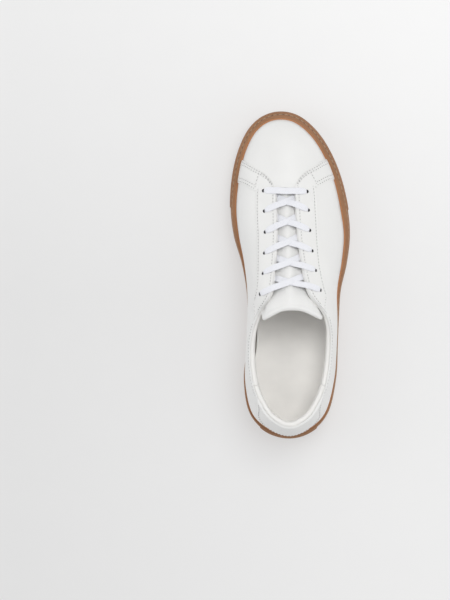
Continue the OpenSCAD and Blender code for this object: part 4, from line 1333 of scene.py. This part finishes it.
def lace_route():
    bar = flat_run(hole(OUTER, 0), hole(INNER, 0), False, LACE_OVER - BAR_SAG)
    first, last = tail(hole(INNER, 5))[::-1] + strand(OUTER)[::-1], strand(INNER) + tail(hole(OUTER, 5))
    return first + bar + last


def lace_path():
    """Evenly spaced centres, width directions, widths and thicknesses along the lace."""
    route = lace_route()
    centres = np.array([r[0] for r in route])
    widths = unit(np.array([r[1] for r in route]))
    for k in range(1, len(widths)):
        if widths[k] @ widths[k - 1] < 0:
            widths[k] *= -1
    sizes = np.array([[r[2], r[3]] for r in route])
    run = run_along(centres)
    fine = resampled(np.concatenate([centres, widths, sizes], 1), run, np.arange(0, run[-1], 0.25))
    fine[:, :3] = softened(fine[:, :3], 4)
    fine[:, 3:] = softened(fine[:, 3:], 5)
    return fine[::3]


def lace():
    path = lace_path()
    centres, widths, wide, thick = path[:, :3], path[:, 3:6], path[:, 6], path[:, 7]
    runs = unit(np.gradient(centres, axis=0))
    widths = unit(widths - runs * (widths * runs).sum(-1, keepdims=True))
    ups = np.cross(runs, widths)
    # The hand-pulled lace is never quite even: its width and tilt wander a little
    drift = softened(rng.normal(size=(len(centres), 2)), 9)
    wide = wide * (1 + 0.1 * drift[:, 0])
    tilt = 0.12 * drift[:, 1]
    widths, ups = (times(widths, np.cos(tilt)) + times(ups, np.sin(tilt)),
                   times(ups, np.cos(tilt)) - times(widths, np.sin(tilt)))
    sides = 22
    a = (np.arange(sides) + 0.5) * math.tau / sides
    # A flat section with round edges, a little fuller along both edges than in the middle
    flat = np.sign(np.cos(a)) * np.abs(np.cos(a)) ** 0.55
    deep = np.sign(np.sin(a)) * np.abs(np.sin(a)) ** 0.8 * (0.86 + 0.14 * np.abs(np.cos(a)) * 1.6)
    rings = (centres[:, None] + times(widths[:, None], flat * wide[:, None] / 2)
             + times(ups[:, None], deep * thick[:, None] / 2))
    faces = tube_faces(len(rings), sides)
    made = piece("lace_braid", rings.reshape(-1, 3), faces, SHOE, "lace_cotton", "lace")
    strip_uv(made, np.repeat(run_along(centres), sides), np.tile(flat / 2 + 0.5, len(rings)))
    return path


LACE_PATH = lace()


def tongue():
    q, s, away = tongue_grid()
    flat = tongue_at(q, s, -3.5)
    # Only the stretch of lace over the throat rests on the tongue
    over_throat = LACE_PATH[np.abs(LACE_PATH[:, 0] - throat_middle(LACE_PATH[:, 1])) < 11][:, :3]
    reach = nearest(flat * [1, 1, 0.25], over_throat * [1, 1, 0.25])
    top, bottom, middle = tongue_sides(q, s, away, 0.75 * bell(reach, 3.4))
    seam = np.minimum(top, middle + 0.02)
    shell_in = np.maximum(top - SHELL_T, np.minimum(seam, top - 0.02))
    lining_in = np.minimum(bottom + TONGUE_LINING_T, np.maximum(middle - 0.02, bottom + 0.02))
    foam_top, foam_low = shell_in - 0.05, lining_in + 0.05
    foam_middle = (foam_top + foam_low) / 2
    foam_half = np.maximum((foam_top - foam_low) / 2, 0.02)
    inside = away > 1.3
    cells = inside[1:, 1:] & inside[:-1, 1:] & inside[1:, :-1] & inside[:-1, :-1]
    for name, high, low, slot, node, kept, fill in (
        ("tongue_leather", top, shell_in, "upper_leather", "tongue_shell", None, 0.75),
        ("tongue_lining_leather", lining_in, bottom, "lining_leather", "tongue_lining", None, 0.7),
        ("tongue_foam_core", foam_middle + foam_half, foam_middle - foam_half, "collar_foam", "tongue_foam",
         cells, 0.75),
    ):
        sheet(name, tongue_at(q, s, high), tongue_at(q, s, low), TONGUE, slot, node, kept)


tongue()

# ---- Pieces that show the CAD model itself: they lie inside, and the material gives their surface
for node, slot_name in (
    ("midsole_cushion", "midsole_foam"), ("bottom_filler", "filler"), ("lasting_board", "board"),
    ("footbed_foam", "footbed_foam"), ("toe_puff", "stiffener"), ("heel_counter", "stiffener"),
    ("collar_foam", "collar_foam"), ("eyestay_backing_medial", "stiffener"),
    ("eyestay_backing_lateral", "stiffener"), ("aglets", "aglet"),
):
    dress(frame["nodes"][node], slot_name)


# ---- Floor, light and finish
FLOOR_GLOW = 0.49
TENT = (0.74, 0.41)
LIGHTS = (
    ("key", (0.3, 0.45, 1.55), 0.8, 10.6, (1.0, 0.995, 0.985)),
    ("fill_left", (-1.3, 0.1, 0.8), 1.2, 5.0, (0.985, 0.992, 1.0)),
    ("fill_right", (1.3, -0.3, 0.8), 1.2, 3.0, (0.985, 0.992, 1.0)),
)


def studio():
    floor_mesh = bpy.data.meshes.new("floor")
    floor_mesh.from_pydata([(-4, -4, 0), (4, -4, 0), (4, 4, 0), (-4, 4, 0)], [], [(0, 1, 2, 3)])
    made = bpy.data.materials.new("floor")
    made.use_nodes = True
    n = Nodes(made)
    # Most of its brightness is its own, so that shadows stay faint; it is brighter to the right and the top
    place = n.add("ShaderNodeSeparateXYZ", {"Vector": n.coords}).outputs
    to_right = n.spread(place["X"], -0.06, 0.03, -0.25, 0.13)
    to_top = n.spread(place["Y"], 0.0, 0.07, -0.02, 0.24)
    n.put(
        Base_Color=n.blend(n.spread(n.noise(3.0), 0, 1), (0.32, 0.32, 0.32), (0.325, 0.325, 0.325)),
        Roughness=n.spread(n.noise(40), 0.75, 0.85),
        Emission_Strength=n.math("ADD", n.math("ADD", to_right, to_top), FLOOR_GLOW),
        Emission_Color=(1, 1, 1, 1),
    )
    floor_mesh.materials.append(made)
    placed("floor", floor_mesh)
    world = bpy.data.worlds.new("studio")
    bpy.context.scene.world = world
    world.use_nodes = True
    # A soft tent: brighter near the horizon than overhead
    tree = world.node_tree
    background = tree.nodes["Background"].inputs
    background["Color"].default_value = (1.0, 1.0, 1.0, 1)
    height = tree.nodes.new("ShaderNodeSeparateXYZ")
    tree.links.new(tree.nodes.new("ShaderNodeTexCoord").outputs["Generated"], height.inputs["Vector"])
    fall = tree.nodes.new("ShaderNodeMapRange")
    fall.inputs["To Min"].default_value, fall.inputs["To Max"].default_value = TENT
    tree.links.new(height.outputs["Z"], fall.inputs["Value"])
    tree.links.new(fall.outputs["Result"], background["Strength"])
    for name, spot, size, power, colour in LIGHTS:
        lamp = bpy.data.lights.new(name, "AREA")
        lamp.size = size
        lamp.energy = power
        lamp.color = colour
        light = placed(name, lamp)
        light.location = spot
        light.rotation_euler = (-Vector(spot)).to_track_quat("-Z", "Y").to_euler()


studio()
bpy.context.scene.view_settings.view_transform = "Standard"
